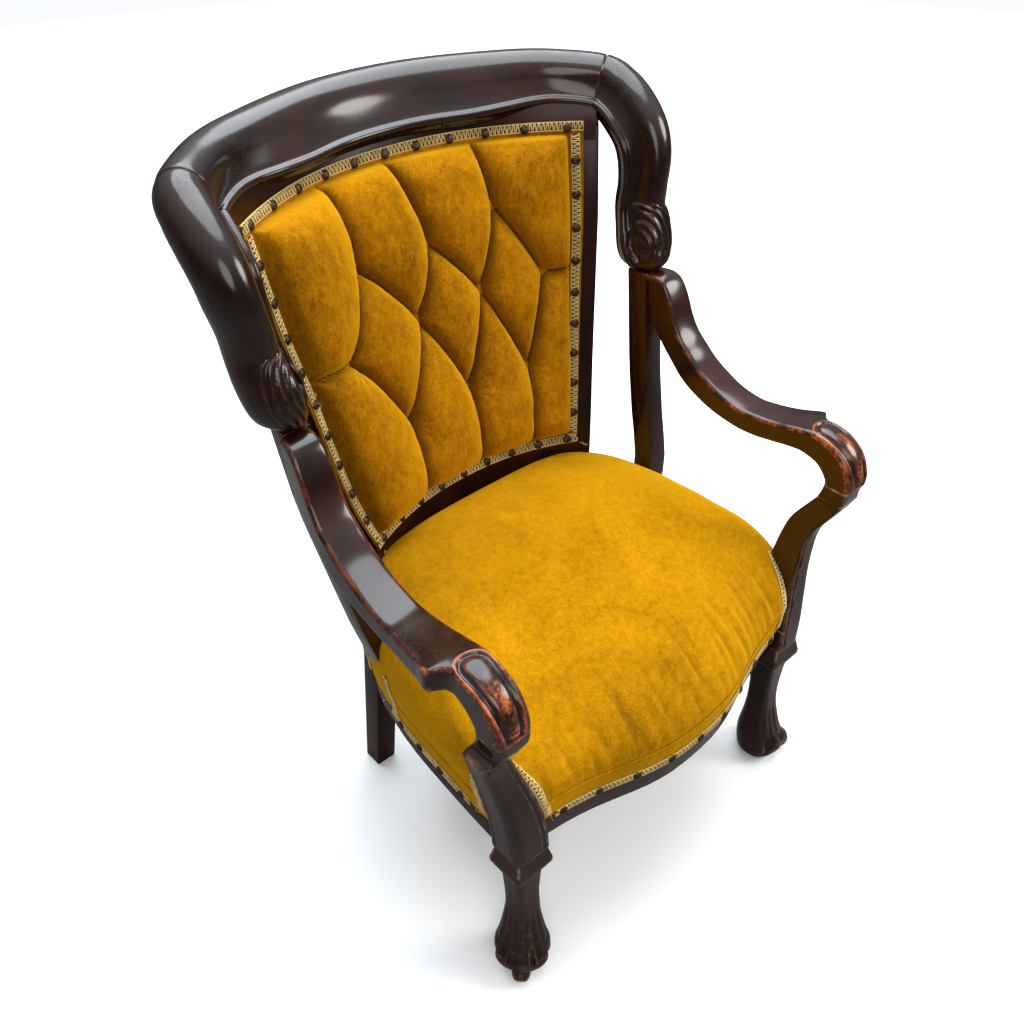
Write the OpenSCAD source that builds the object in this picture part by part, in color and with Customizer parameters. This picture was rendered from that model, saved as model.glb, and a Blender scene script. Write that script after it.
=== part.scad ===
// Upholstered armchair with a horseshoe crest rail, deep buttoned back and paw feet.
// Units: millimetres. +Z is up, the chair faces -Y, and the origin is on the floor
// under the middle of the whole chair.

/* [Overall] */
// Overall width, across the outer corners of the arms
chair_w = 684; // [550:1:800]
// Overall depth, from the crown of the front seat rail to the back of the crest
chair_d = 668; // [550:1:800]
// Height of the middle of the crest moulding above the floor
crest_z = 952; // [800:1:1100]

/* [Seat frame] */
// Height of the underside of the seat rails
rail_z = 254; // [220:1:300]
// Height of the seat rails themselves
rail_h = 52; // [40:1:70]
// Thickness of the seat rails
rail_t = 28; // [20:1:32]
// Height of the crown of the seat above the top of the rails
seat_dome = 146; // [110:1:170]

/* [Wood sections] */
// Depth of the two back posts under the ears of the crest
post_d = 33; // [26:1:38]
// Width of the same posts
post_w = 33; // [26:1:38]
// Half width of the crest moulding
crest_hw = 38; // [30:1:42]
// Half thickness of the crest moulding
crest_ht = 28; // [22:1:32]
// Side of the square rear legs
leg_side = 36; // [30:1:40]
// Side to side distance between the inner faces of the two arms
arm_span = 554; // [500:1:600]

/* [Upholstery] */
// Thickness of the velvet with its lining
velvet_t = 3; // [2:0.5:5]
// Width of the woven gimp braid
gimp_w = 14; // [10:1:18]
// Thickness of the gimp braid
gimp_t = 2; // [1:0.5:3]
// Diameter of a domed nail head
nail_d = 12.5; // [8:0.5:14]
// Number of nails along the front seat rail
front_nails = 9; // [5:1:13]
// Depth of the button tufting
tuft_depth = 16; // [6:1:22]
// Width of a strip of seat webbing
web_w = 50; // [35:1:60]

/* [Part] */
// Which piece to draw

/* [Hidden] */
$fn = 48;

// Colours
c_wood = [0.17, 0.07, 0.05];
c_raw = [0.62, 0.46, 0.29];
c_velvet = [0.75, 0.50, 0.06];
c_gimp = [0.83, 0.71, 0.42];
c_cloth = [0.66, 0.56, 0.40];
c_web = [0.52, 0.42, 0.28];
c_black = [0.07, 0.07, 0.07];
c_steel = [0.45, 0.45, 0.45];
c_hair = [0.33, 0.27, 0.21];

// Every outline below is drawn on a chair 684 wide, 668 deep and 952 to the crest, with its
// depth measured back from the crown of the front rail. These carry it to the chosen sizes.
// Velvet, braid and nail heads stand this far in front of the front rail
proud = 4 + 0.3 + gimp_t + 3.5;
function ax(x) = x * chair_w / 684;
function ay(v) = (v - 334) * chair_d / 668 + proud / 2;
function az(z) = z * crest_z / 952;
function at(p) = [ax(p[0]), ay(p[1]), az(p[2])];
rail_top = rail_z + rail_h;
gap = 0.3;

// ---- helpers -------------------------------------------------------------------------
function unit(v) = v / norm(v);
function mix(a, b, t) = a + (b - a) * t;
// Smooth curve through the rows of a table, `n` steps to a row (Catmull-Rom)
function cr(p0, p1, p2, p3, t) = 0.5 * ((2 * p1) + (p2 - p0) * t
  + (2 * p0 - 5 * p1 + 4 * p2 - p3) * t * t + (3 * p1 - p0 - 3 * p2 + p3) * t * t * t);
function smooth(pts, n) = let (m = len(pts)) [for (i = [0 : m - 2], k = [0 : n - 1])
  cr(pts[max(i - 1, 0)], pts[i], pts[i + 1], pts[min(i + 2, m - 1)], k / n), pts[m - 1]];
// Value of a two-column table [at, value] at x
function look(x, t, i = 0) = i >= len(t) - 2 || x <= t[i + 1][0]
  ? mix(t[i][1], t[i + 1][1], (x - t[i][0]) / (t[i + 1][0] - t[i][0])) : look(x, t, i + 1);
function swap_x(pts) = [for (i = [len(pts) - 1 : -1 : 0]) [-pts[i][0], pts[i][1]]];

// Solid through rings of equal length, closed by flat ends
module loft(rings) {
  n = len(rings[0]);
  m = len(rings);
  pts = [for (r = rings, p = r) p];
  sides = [for (i = [0 : m - 2], k = [0 : n - 1]) let (j = (k + 1) % n)
    for (f = [[i * n + k, (i + 1) * n + k, (i + 1) * n + j], [i * n + k, (i + 1) * n + j, i * n + j]]) f];
  ends = [[for (k = [0 : n - 1]) k], [for (k = [n - 1 : -1 : 0]) (m - 1) * n + k]];
  polyhedron(pts, concat(sides, ends), convexity = 8);
}

// Solid cut from a side outline (depth, height) and a front outline (width, height)
module sawn(side, front, wide = 800, deep = 1400) {
  intersection() {
    rotate([90, 0, 90]) linear_extrude(wide) polygon(side);
    translate([0, deep / 2, 0]) rotate([90, 0, 0]) linear_extrude(deep) polygon(front);
  }
}

module both_sides() {
  children();
  mirror([1, 0, 0]) children();
}

// ---- crest moulding ------------------------------------------------------------------
// Rows: middle of the section (width, depth, height), outward direction (3), half width
// and half thickness as shares of crest_hw and crest_ht
crest_joint_row = 6;
crest_path = [
  [0, 632, 952, 0.00, 0.82, 0.57, 1.00, 1.00],
  [64, 626, 952, 0.14, 0.81, 0.57, 1.00, 1.00],
  [123, 607, 952, 0.27, 0.78, 0.57, 1.00, 1.00],
  [176, 586, 951, 0.40, 0.72, 0.57, 1.00, 1.00],
  [222, 566, 949, 0.49, 0.65, 0.58, 1.00, 1.02],
  [259, 541, 946, 0.58, 0.56, 0.60, 1.00, 1.04],
  [298, 503, 940, 0.72, 0.32, 0.60, 1.00, 1.08],
  [306, 478, 929, 0.82, 0.12, 0.50, 1.00, 1.14],
  [308, 455, 912, 0.88, -0.08, 0.40, 1.00, 1.20],
  [308, 434, 889, 0.92, -0.22, 0.28, 0.96, 1.26],
  [307, 424, 862, 0.93, -0.30, 0.12, 0.90, 1.29],
  [303, 420, 829, 0.92, -0.36, 0.05, 0.82, 1.27],
  [300, 419, 800, 0.92, -0.38, 0.00, 0.86, 1.25],
  [298, 411, 775, 0.92, -0.38, 0.00, 0.94, 1.26],
  [294, 402, 750, 0.92, -0.38, 0.00, 0.96, 1.24],
  [291, 396, 734, 0.92, -0.38, 0.00, 0.84, 1.08],
  [290, 394, 724, 0.92, -0.38, 0.00, 0.66, 0.86],
  [290, 394, 719, 0.92, -0.38, 0.00, 0.50, 0.66]];
// Section: rounded roll on the outside, slope to a half-round bead on the inside
bead_r = 5;
function crest_section(hw, ht) = concat(
  [for (a = [-89 : 17 : 98]) [hw * cos(a), ht * sin(a)]],
  [[-0.42 * hw, 0.62 * ht], [-0.68 * hw, 0.30 * ht]],
  [for (a = [46 : 46 : 230]) [-hw + bead_r + bead_r * cos(a), 0.1 * ht + bead_r * sin(a)]],
  [[-0.9 * hw, -0.5 * ht], [-0.55 * hw, -0.86 * ht]]);
function crest_rings(rows) = let (m = len(rows)) [for (i = [0 : m - 1]) let (
  here = at(rows[i]),
  t = unit(at(rows[min(i + 1, m - 1)]) - at(rows[max(i - 1, 0)])),
  raw = [rows[i][3], rows[i][4], rows[i][5]],
  u = unit(raw - t * (raw * t)),
  v = cross(t, u))
  [for (q = crest_section(crest_hw * rows[i][6], crest_ht * rows[i][7])) here + u * q[0] + v * q[1]]];
function mirror_row(r) = [-r[0], r[1], r[2], -r[3], r[4], r[5], r[6], r[7]];

// The whole horseshoe from the left ear to the right one, cut at the two joints
crest_steps = 2;
crest_right = smooth(crest_path, crest_steps);
crest_left = [for (i = [len(crest_right) - 1 : -1 : 1]) mirror_row(crest_right[i])];
crest_all = crest_rings(concat(crest_left, crest_right));
crest_mid = len(crest_left);
crest_joint = crest_joint_row * crest_steps;
module crest_rail() {
  color(c_wood) loft([for (i = [crest_mid - crest_joint : crest_mid + crest_joint]) crest_all[i]]);
}
module crest_ear_right() {
  color(c_wood) loft([for (i = [crest_mid + crest_joint : len(crest_all) - 1]) crest_all[i]]);
}
module crest_ear_left() {
  mirror([1, 0, 0]) crest_ear_right();
}

// ---- back panel surface --------------------------------------------------------------
// Rows: height, half width of the panel, depth at its middle, depth at its side edge
panel = [
  [457, 185, 459, 412], [510, 201, 476, 428], [570, 213, 494, 441],
  [690, 230, 527, 459], [780, 245, 552, 473], [905, 258, 592, 492], [930, 262, 600, 498]];
function column(k) = [for (r = panel) [r[0], r[k]]];
half_w = column(1);
mid_v = column(2);
side_v = column(3);
function panel_y(s, z) = let (m = look(z, mid_v), e = look(z, side_v)) m - (m - e) * pow(abs(s), 2.2);
// Point of the panel at share s of its half width (-1 to 1) and nominal height z,
// moved `out` towards the sitter
function on_panel(s, z, out = 0) = let (
  p = at([s * look(z, half_w), panel_y(s, z), z]),
  q = at([(s + 0.02) * look(z, half_w), panel_y(s + 0.02, z), z]),
  r = at([s * look(z + 5, half_w), panel_y(s, z + 5), z + 5]),
  n = unit(cross(q - p, r - p))) p + n * out;
// Grid solid over the panel from s0 to s1 and z0 to z1 between two offsets
module panel_slab(s0, s1, ns, z0, z1, nz, back, front = 0, bump = 0, hollow = 0) {
  function relief(i, j) = tuft(mix(s0, s1, i / ns), mix(z0, z1, j / nz));
  function spot(i, j, out) = on_panel(mix(s0, s1, i / ns), mix(z0, z1, j / nz), out);
  f = [for (j = [0 : nz], i = [0 : ns]) spot(i, j, front + bump * relief(i, j))];
  b = [for (j = [0 : nz], i = [0 : ns]) spot(i, j, back + hollow * relief(i, j))];
  w = ns + 1;
  nb = len(f);
  front_faces = [for (j = [0 : nz - 1], i = [0 : ns - 1]) let (a = j * w + i)
    for (t = [[a, a + w, a + w + 1], [a, a + w + 1, a + 1]]) t];
  back_faces = [for (t = front_faces) [t[2] + nb, t[1] + nb, t[0] + nb]];
  rim = concat([for (i = [0 : ns]) i], [for (j = [1 : nz]) j * w + ns],
    [for (i = [ns - 1 : -1 : 0]) nz * w + i], [for (j = [nz - 1 : -1 : 1]) j * w]);
  sides = [for (k = [0 : len(rim) - 1]) let (a = rim[k], c = rim[(k + 1) % len(rim)])
    for (t = [[a, c, c + nb], [a, c + nb, a + nb]]) t];
  polyhedron(concat(f, b), concat(front_faces, back_faces, sides), convexity = 8);
}
// Buttons: share of half width, nominal height
buttons = [[-0.41, 791], [0.10, 784], [0.53, 810],
  [-0.65, 691], [-0.07, 695], [0.39, 706], [0.78, 714],
  [-0.35, 572], [0.18, 579], [0.645, 583]];
// Relief of the tufting: 1 on a plump diamond, low at a button, falling to 0 at the border
button_level = 0.3;
function tuft(s, z) = let (
  near = min([for (b = buttons) norm([(s - b[0]) * 230, z - b[1]])]),
  edge = min(1, (0.93 - abs(s)) * 9, (z - 474) / 26, (888 - z) / 26))
  max(0, edge) * mix(button_level, 1, pow(min(1, near / 75), 0.7));

// ---- frame of the back ---------------------------------------------------------------
// Below the panel: height, middle of the section (width, depth), share of the half side
rear_leg_rows = [[0, 209, 454, 0.92], [120, 204, 441, 0.96], [rail_z, 198, 428, 1],
  [rail_top, 198, 428, 1]];
// Beside the panel the leg is turned 45 degrees: height and distance from the panel's edge
stile_rows = [[440, 21, 16], [510, 17.5, 12], [570, 17.5, 12], [690, 17.5, 12], [780, 17.5, 12],
  [898, 17, 11.5]];
stile_side = 0.94;
function leg_ring(c, z, share, turn) = let (h = leg_side / 2 * share) [for (k = [0 : 3])
  let (a = turn + 45 + 90 * k) [c[0] + h * sqrt(2) * cos(a), c[1] + h * sqrt(2) * sin(a), z]];
module rear_leg_right() {
  color(c_wood) loft(concat(
    [for (r = rear_leg_rows) leg_ring([ax(r[1]), ay(r[2])], az(r[0]), r[3], 0)],
    [for (r = stile_rows) leg_ring([ax(look(r[0], half_w)) + r[1], ay(look(r[0], side_v)) + r[2]],
      az(r[0]), stile_side, 45)]));
}
module rear_leg_left() {
  mirror([1, 0, 0]) rear_leg_right();
}
frame_t = 24;
tack = velvet_t + gap;
module back_top_rail() {
  color(c_wood) panel_slab(-0.93, 0.93, 24, 880, 915, 1, -tack - frame_t, -tack);
}
module back_bottom_rail() {
  color(c_wood) panel_slab(-0.93, 0.93, 24, 440, 476, 1, -tack - frame_t, -tack);
}

// ---- back posts and arms -------------------------------------------------------------
// Front edge of a back post (depth, height) and its inner edge (width, height)
post_front = [[312, rail_top], [311, 345], [310, 390], [316, 440], [335, 505], [351, 564],
  [363, 623], [377, 717]];
post_inner = [[220, rail_top], [227, 347], [238, 390], [249, 440], [256, 505], [263, 564],
  [269, 623], [274, 717]];
arm_joint_z = 533;
// Arm outline seen from the side (depth, height), upper edge from the post to the joint
arm_upper = [[377, 717], [358, 717], [348, 712], [340, 704], [333, 689], [321, 661], [308, 640],
  [292, 625], [275, 611], [254, 599], [227, 587], [195, 580], [170, 581], [140, 585],
  [110, 592], [83, 597], [65, 596], [48, 591], [33, 582], [23, 570], [16, 556], [13, 545],
  [13, arm_joint_z]];
// Lower edge from the joint back to the post
arm_lower = [[49, arm_joint_z], [54, 545], [62, 554], [76, 560], [95, 562], [122, 558],
  [155, 552], [185, 549], [213, 549], [239, 555], [260, 562], [279, 570], [300, 582],
  [319, 600], [336, 618], [350, 633], [366, 645]];
// Outer face of the arm in plan (width, depth), with the heel behind the scroll
arm_outer = [[324, 5], [324, 60], [323, 82], [327, 90], [334, 94], [342, 98], [342, 104],
  [337, 122], [332, 150], [328, 180], [326, 220], [325, 300], [320, 340], [314, 380]];
module arm_right() {
  side = [for (p = concat(smooth(arm_upper, 2), smooth(arm_lower, 2))) [ay(p[0]), az(p[1])]];
  inner = arm_span / 2;
  plan = [for (p = concat(arm_outer, [[0, 380], [0, 5]]))
    [p[0] == 0 ? inner : ax(p[0]), ay(p[1])]];
  color(c_wood) difference() {
    intersection() {
      rotate([90, 0, 90]) linear_extrude(chair_w) polygon(side);
      translate([0, 0, az(450)]) linear_extrude(az(300)) polygon(plan);
    }
    arm_dowel(gap);
    scroll_dowel(gap);
  }
}
module arm_left() {
  mirror([1, 0, 0]) arm_right();
}
module back_post_right() {
  f = smooth(post_front, 2);
  g = smooth(post_inner, 2);
  n = len(f) - 1;
  side = concat([for (p = f) [ay(p[0]), az(p[1])]],
    [for (i = [n : -1 : 0]) [ay(f[i][0]) + post_d, az(f[i][1])]]);
  front = concat([for (p = g) [ax(p[0]), az(p[1])]],
    [for (i = [n : -1 : 0]) [ax(g[i][0]) + post_w, az(g[i][1])]]);
  color(c_wood) difference() {
    sawn(side, front);
    arm_dowel(gap);
  }
}
module back_post_left() {
  mirror([1, 0, 0]) back_post_right();
}
dowel_d = 10;
module arm_dowel(extra = 0) {
  translate([ax(292), ay(346) - extra, az(682)]) rotate([-90, 0, 0])
    cylinder(d = dowel_d + extra, h = 44 + 2 * extra);
}
module scroll_dowel(extra = 0) {
  translate([ax(300), ay(33), az(arm_joint_z) - 16 - extra])
    cylinder(d = dowel_d + extra, h = 32 + 2 * extra);
}
module arm_dowels() {
  color(c_raw) both_sides() arm_dowel();
}
module scroll_dowels() {
  color(c_raw) both_sides() scroll_dowel();
}

// ---- front legs ----------------------------------------------------------------------
collar_top = 254;
collar_low = 222;
collar_base = 214;
// Front post seen from the side, front edge downwards then back edge upwards
leg_side_outline = [[13, arm_joint_z], [14, 521], [17, 508], [28, 484], [39, 464], [49, 449],
  [55, 432], [57, 412], [56, 380], [50, 340], [42, 295], [36, collar_top], [77, collar_top],
  [79, rail_top], [86, 326], [93, 360], [95, 394], [94, 419], [91, 437], [85, 457], [73, 478],
  [60, 499], [52, 517], [49, arm_joint_z]];
// The same post from the front, inner edge downwards then outer edge upwards
leg_front_outline = [[277, arm_joint_z], [277, 510], [283, 502], [282, 478], [275, 430],
  [263, 380], [251, 335], [241, 290], [233, collar_top], [279, collar_top], [284, 290],
  [292, 335], [301, 380], [312, 430], [322, 468], [332, 492], [335, 503], [324, 512],
  [324, arm_joint_z]];
collar_mid = [256, 56.5];
// Rows below the collar: height, middle (width, depth), radius, depth of the flutes, toes
paw_rows = [
  [216, 255, 57, 24, 0, 0], [205, 255, 57, 22, 0, 0], [180, 255, 57, 20.5, 0, 0],
  [140, 255, 56, 19.5, 0.02, 0], [110, 256, 55, 21, 0.05, 0], [85, 257, 54, 25, 0.07, 0],
  [62, 258, 53, 30, 0.08, 0.02], [45, 260, 51, 34, 0.05, 0.10], [30, 261, 50, 36, 0.02, 0.16],
  [16, 261, 50, 36, 0, 0.18], [6, 260, 51, 33, 0, 0.16], [1, 259, 52, 28, 0, 0.10]];
leg_pts = 40;
toe_dir = -45;
// Rounded square, fluted on the outer side, opening into toes around the outward corner
function paw_ring(r) = let (c = at([r[1], r[2], r[0]])) [for (k = [0 : leg_pts - 1]) let (
  a = 360 * k / leg_pts,
  from_toe = abs((a - toe_dir + 540) % 360 - 180),
  sq = 1 / pow(pow(abs(cos(a)), 5) + pow(abs(sin(a)), 5), 0.2),
  outer = max(0, cos(from_toe * 0.75)),
  toes = r[5] * outer * (cos(from_toe * 6.2) + 0.55 * outer),
  flutes = r[4] * outer * cos(from_toe * 13),
  rad = r[3] * (mix(sq, 1, min(1, r[5] * 8 + 0.25)) + toes + flutes))
  [c[0] + rad * cos(a), c[1] + rad * sin(a), c[2]]];
module front_leg_right() {
  side = [for (p = leg_side_outline) [ay(p[0]), az(p[1])]];
  front = [for (p = leg_front_outline) [ax(p[0]), az(p[1])]];
  color(c_wood) union() {
    difference() {
      sawn(side, front);
      scroll_dowel(gap);
    }
    loft([for (r = [[collar_base, 24, 22], [collar_low, 29, 27], [collar_low + 6, 29, 27],
      [collar_top, 23.5, 21.5]]) let (c = at([collar_mid[0], collar_mid[1], r[0]]))
      [for (q = [[-1, -1], [1, -1], [1, 1], [-1, 1]]) [c[0] + q[0] * r[1], c[1] + q[1] * r[2], c[2]]]]);
    loft([for (i = [len(paw_rows) - 1 : -1 : 0]) paw_ring(paw_rows[i])]);
    translate([ax(259), ay(52), 0]) cylinder(r = 24, h = 6);
  }
}
module front_leg_left() {
  mirror([1, 0, 0]) front_leg_right();
}

// ---- seat frame ----------------------------------------------------------------------
// Outer face of the front rail (width, depth), from the middle to the front post
front_face = smooth([[0, 0], [40, 1.6], [80, 9], [122, 22], [158, 33], [195, 41], [230, 46]], 2);
// Outer face of a side rail, from the front post to the rear leg
side_face = smooth([[277, 80], [276, 120], [273, 180], [268, 250], [259, 310], [250, 350],
  [236, 384], [219, 409]], 2);
function here(pts) = [for (p = pts) [ax(p[0]), ay(p[1])]];
side_by_depth = [for (p = side_face) [p[1], p[0]]];
// Offset of an open line, to its right
function beside(pts, d) = let (m = len(pts)) [for (i = [0 : m - 1]) let (
  t = unit(pts[min(i + 1, m - 1)] - pts[max(i - 1, 0)])) pts[i] + [t[1], -t[0]] * d];
function back_again(pts) = [for (i = [len(pts) - 1 : -1 : 0]) pts[i]];
function both(half) = concat(swap_x([for (i = [1 : len(half) - 1]) half[i]]), half);
// Strip between two offsets of a line
function strip(pts, d0, d1) = concat(beside(pts, d0), back_again(beside(pts, d1)));

module front_rail() {
  face = both(here(front_face));
  color(c_wood) difference() {
    translate([0, 0, rail_z]) linear_extrude(rail_h) polygon(strip(face, 0, -rail_t));
    both_sides() block_screw_set(gap / 2);
  }
}
module side_rail_right() {
  face = here(side_face);
  color(c_wood) difference() {
    translate([0, 0, rail_z]) linear_extrude(rail_h) intersection() {
      polygon(strip(face, 0, -rail_t));
      translate([0, ay(80)]) square([chair_w, ay(409) - ay(80)]);
    }
    block_screw_set(gap / 2);
  }
}
module side_rail_left() {
  mirror([1, 0, 0]) side_rail_right();
}
module rear_rail() {
  inner = ax(198) - leg_side / 2;
  color(c_raw) difference() {
    translate([-inner, ay(428) - rail_t / 2, rail_z]) cube([2 * inner, rail_t, rail_h]);
    both_sides() block_screw_set(gap / 2);
  }
}
block_z = rail_z + 8;
block_h = rail_h - 16;
// Corners are given from the inner faces of the rails they stand against
side_in = function (v, d) ax(look(v, side_by_depth)) - rail_t - d;
module block(pts) {
  color(c_raw) difference() {
    translate([0, 0, block_z]) linear_extrude(block_h) polygon(pts);
    block_screw_set(gap / 2);
  }
}
block_gap = 3;
front_in = ay(46) + rail_t + block_gap + 6;
rear_in = ay(428) - rail_t / 2 - 2;
leg_in = ax(198) - leg_side / 2 - 2;
module corner_block_front_right() {
  x = side_in(152, block_gap);
  block([[ax(146), front_in - 10], [x - 22, front_in + 2], [x, front_in + 10], [x, ay(152)]]);
}
module corner_block_front_left() {
  mirror([1, 0, 0]) corner_block_front_right();
}
module corner_block_rear_right() {
  x = side_in(352, 3 * block_gap);
  block([[leg_in - 60, rear_in], [leg_in, rear_in], [leg_in + 8, ay(428) - leg_side / 2 - 10],
    [side_in(378, 3 * block_gap), ay(378)], [x, ay(352)]]);
}
module corner_block_rear_left() {
  mirror([1, 0, 0]) corner_block_rear_right();
}
module wood_screw(extra) {
  translate([0, 0, -extra]) cylinder(d = 4.5 + 2 * extra, h = 40 + 2 * extra);
  translate([0, 0, -3 - extra]) cylinder(d = 9 + 2 * extra, h = 3 + 2 * extra);
}
module block_screw_set(extra = 0) {
  mid = block_z + block_h / 2;
  translate([ax(224), ay(128), mid]) rotate([0, 90, 0]) wood_screw(extra);
  translate([ax(188), ay(98), mid]) rotate([90, 0, 0]) wood_screw(extra);
  translate([ax(152), ay(396), mid]) rotate([-90, 0, 0]) wood_screw(extra);
  translate([ax(187), ay(380), mid]) rotate([0, 90, 0]) wood_screw(extra);
}
module block_screws() {
  color(c_steel) both_sides() block_screw_set();
}

// ---- seat upholstery -----------------------------------------------------------------
web_t = 1.5;
// Lengthways strips are tacked under the rails, crossways ones lie just below them
web_pitch = (ax(198) - leg_side / 2 - 2 - web_w / 2) / 2;
module webbing_lengthways() {
  color(c_web) for (k = [-2 : 2]) {
    x = k * web_pitch;
    front = ay(look(abs(x) * 684 / chair_w, [for (p = front_face) p])) + 8;
    translate([x - web_w / 2, front, rail_z - gap - web_t]) cube([web_w, ay(438) - front, web_t]);
  }
}
module webbing_crossways() {
  color(c_web) for (v = [120, 192, 264, 336]) {
    x = ax(look(v, [for (p = side_face) [p[1], p[0]]])) - 8;
    translate([-x, ay(v) - web_w / 2, rail_z - 2 * (gap + web_t)]) cube([2 * x, web_w, web_t]);
  }
}
spring_z = rail_z + 2;
spring_h = 92;
spring_turns = 5;
wire_r = 1.9;
// Hourglass coil swept with a five-sided wire
module spring() {
  n = spring_turns * 8;
  pts = [for (i = [0 : n]) let (t = i / n, a = 360 * spring_turns * t, r = 30 - 11 * sin(180 * t))
    [r * cos(a), r * sin(a), wire_r + (spring_h - 2 * wire_r) * t]];
  loft([for (i = [0 : n]) let (
    t = unit(pts[min(i + 1, n)] - pts[max(i - 1, 0)]),
    u = unit([pts[i][0], pts[i][1], 0]),
    w = unit(u - t * (u * t)), v = cross(t, w))
    [for (k = [0 : 4]) pts[i] + wire_r * (w * cos(72 * k) + v * sin(72 * k))]]);
}
module seat_springs() {
  color(c_steel) for (x = [-76, 0, 76], v = [156, 228, 300])
    translate([ax(x), ay(v), spring_z]) spring();
}

// Height of the seam between border and seat cover above the rails
seam_h = 18;
// Outline of the seat at the rails, right half, with notches round the posts and legs
seat_half = concat(front_face, [[230, 102], [270, 104]],
  [for (p = side_face) if (p[1] > 118 && p[1] < 296) p],
  [[207, 296], [207, 366], [248, 366], [236, 379], [164, 386], [164, 430], [120, 440], [60, 447],
  [0, 449]]);
seat_line = let (h = here(seat_half)) concat(h,
  swap_x([for (i = [1 : len(h) - 2]) h[i]]));
seat_line_v = let (m = len(seat_half)) concat([for (p = seat_half) p[1]],
  [for (i = [m - 2 : -1 : 1]) seat_half[i][1]]);
// Closed outline moved outwards by d, corners mitred
function grow(pts, d) = let (m = len(pts)) [for (i = [0 : m - 1]) let (
  a = unit(pts[i] - pts[(i + m - 1) % m]),
  b = unit(pts[(i + 1) % m] - pts[i]),
  na = [a[1], -a[0]], nb = [b[1], -b[0]])
  pts[i] + (na + nb) / max(0.4, 1 + na * nb) * d];
// Rings of the seat dome: height above the rails, outward offset, share of the width,
// share of the depth counted from dome_back, and a step forward
dome_rows = [[seam_h + gap, 4, 1, 1, 0], [34, 7, 1, 1, 0], [56, 7, 1, 0.97, 0],
  [78, 6, 1, 0.92, 0], [98, 4, 0.99, 0.85, 0], [115, 0, 0.965, 0.76, 4], [128, -2, 0.90, 0.66, 12],
  [138, -2, 0.78, 0.53, 20], [144, -2, 0.60, 0.38, 26], [146, -2, 0.32, 0.20, 30]];
// Above the posts the seat draws in: greatest half width by depth
draw_in = [[0, 400], [215, 300], [250, 246], [285, 203], [449, 203]];
draw_from = 90;
dome_back = 425;
cover_drop = 15;
// Air between the filling and its cover, where the cover is drawn in round the posts
fill_gap = 6;
function dome_ring(r, skin) = let (
  z = rail_top + (r[0] > seam_h + gap ? r[0] * seat_dome / 146 - skin : r[0]),
  line = grow(seat_line, r[1] - skin))
  [for (i = [0 : len(line) - 1]) let (q = line[i], v = abs(seat_line_v[i]),
    most = ax(look(v, draw_in)) - skin, t = min(1, max(0, (r[0] - draw_from) / 20)),
    x = mix(abs(q[0]), min(abs(q[0]), most + 0.08 * (abs(q[0]) - most)), t))
    [sign(q[0]) * x * r[2], ay(dome_back) + (q[1] - ay(dome_back)) * r[3] - r[4], z]];
// A skin of even thickness: the rings run down its inside from the crown to the hem and
// then up its outside
module seat_cover() {
  n = len(dome_rows);
  color(c_velvet) loft(concat(
    [for (i = [n - 1 : -1 : 0]) dome_ring(dome_rows[i], velvet_t)],
    [for (i = [0 : n - 1]) dome_ring(dome_rows[i], 0)]));
}
// Border bands of velvet between the braid and the seam of the seat cover
module border_band(line) {
  color(c_velvet) translate([0, 0, rail_top - cover_drop]) linear_extrude(cover_drop + seam_h)
    polygon(strip(line, 4, 4 - velvet_t));
}
module seat_border_front() {
  border_band(both(here([for (p = front_face) if (p[0] <= 224) p])));
}
module seat_border_right() {
  border_band(here([for (p = side_face) if (p[1] > 112 && p[1] < 298) p]));
}
module seat_border_left() {
  mirror([1, 0, 0]) seat_border_right();
}
module seat_stuffing() {
  color(c_hair) loft([for (i = [4 : len(dome_rows) - 1]) dome_ring(dome_rows[i], velvet_t + fill_gap)]);
}
hessian_z = spring_z + spring_h + gap;
module seat_hessian() {
  color(c_cloth) translate([0, 0, hessian_z]) linear_extrude(1.5)
    polygon([for (q = grow(seat_line, -velvet_t - 4))
      [q[0] * 0.97, ay(dome_back) + (q[1] - ay(dome_back)) * 0.92]]);
}
module dust_cover() {
  color(c_black) translate([0, 0, rail_z - 2 * (gap + web_t) - gap - 1]) linear_extrude(1)
    polygon(concat(both(here([for (p = front_face) if (p[0] < 224) [p[0], p[1] + 5]])),
      here([[224, 102], [266, 104], [255, 290], [236, 360], [176, 402], [170, 436], [-170, 436],
        [-176, 402], [-236, 360], [-255, 290], [-266, 104], [-224, 102]])));
}

// ---- upholstery of the back ----------------------------------------------------------
module back_webbing() {
  color(c_web) {
    for (s = [-0.62, -0.14, 0.38]) panel_slab(s, s + 0.24, 4, 484, 874, 6, -20.5, -19);
    for (z = [520, 620, 720, 820]) panel_slab(-0.86, 0.86, 14, z, z + web_w, 1, -22.8, -21.3);
  }
}
module back_hessian() {
  color(c_cloth) panel_slab(-0.88, 0.88, 16, 480, 876, 8, -18.2, -17);
}
module back_stuffing() {
  color(c_hair) panel_slab(-0.88, 0.88, 20, 480, 876, 18, -15.2, -tack - 1.5, tuft_depth * 0.8);
}
module back_cover() {
  color(c_velvet) panel_slab(-1, 1, 28, 459, 903, 28, -velvet_t, 0, tuft_depth, tuft_depth);
}
module outside_back_cover() {
  color(c_velvet) panel_slab(-0.95, 0.95, 20, 442, 920, 8, -tack - frame_t - 2.3, -tack - frame_t - gap);
}
module on_normal(s, z, out) {
  n = unit(on_panel(s, z, 1) - on_panel(s, z, 0));
  translate(on_panel(s, z, out)) rotate([0, acos(n[2]), atan2(n[1], n[0])]) children();
}
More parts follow.
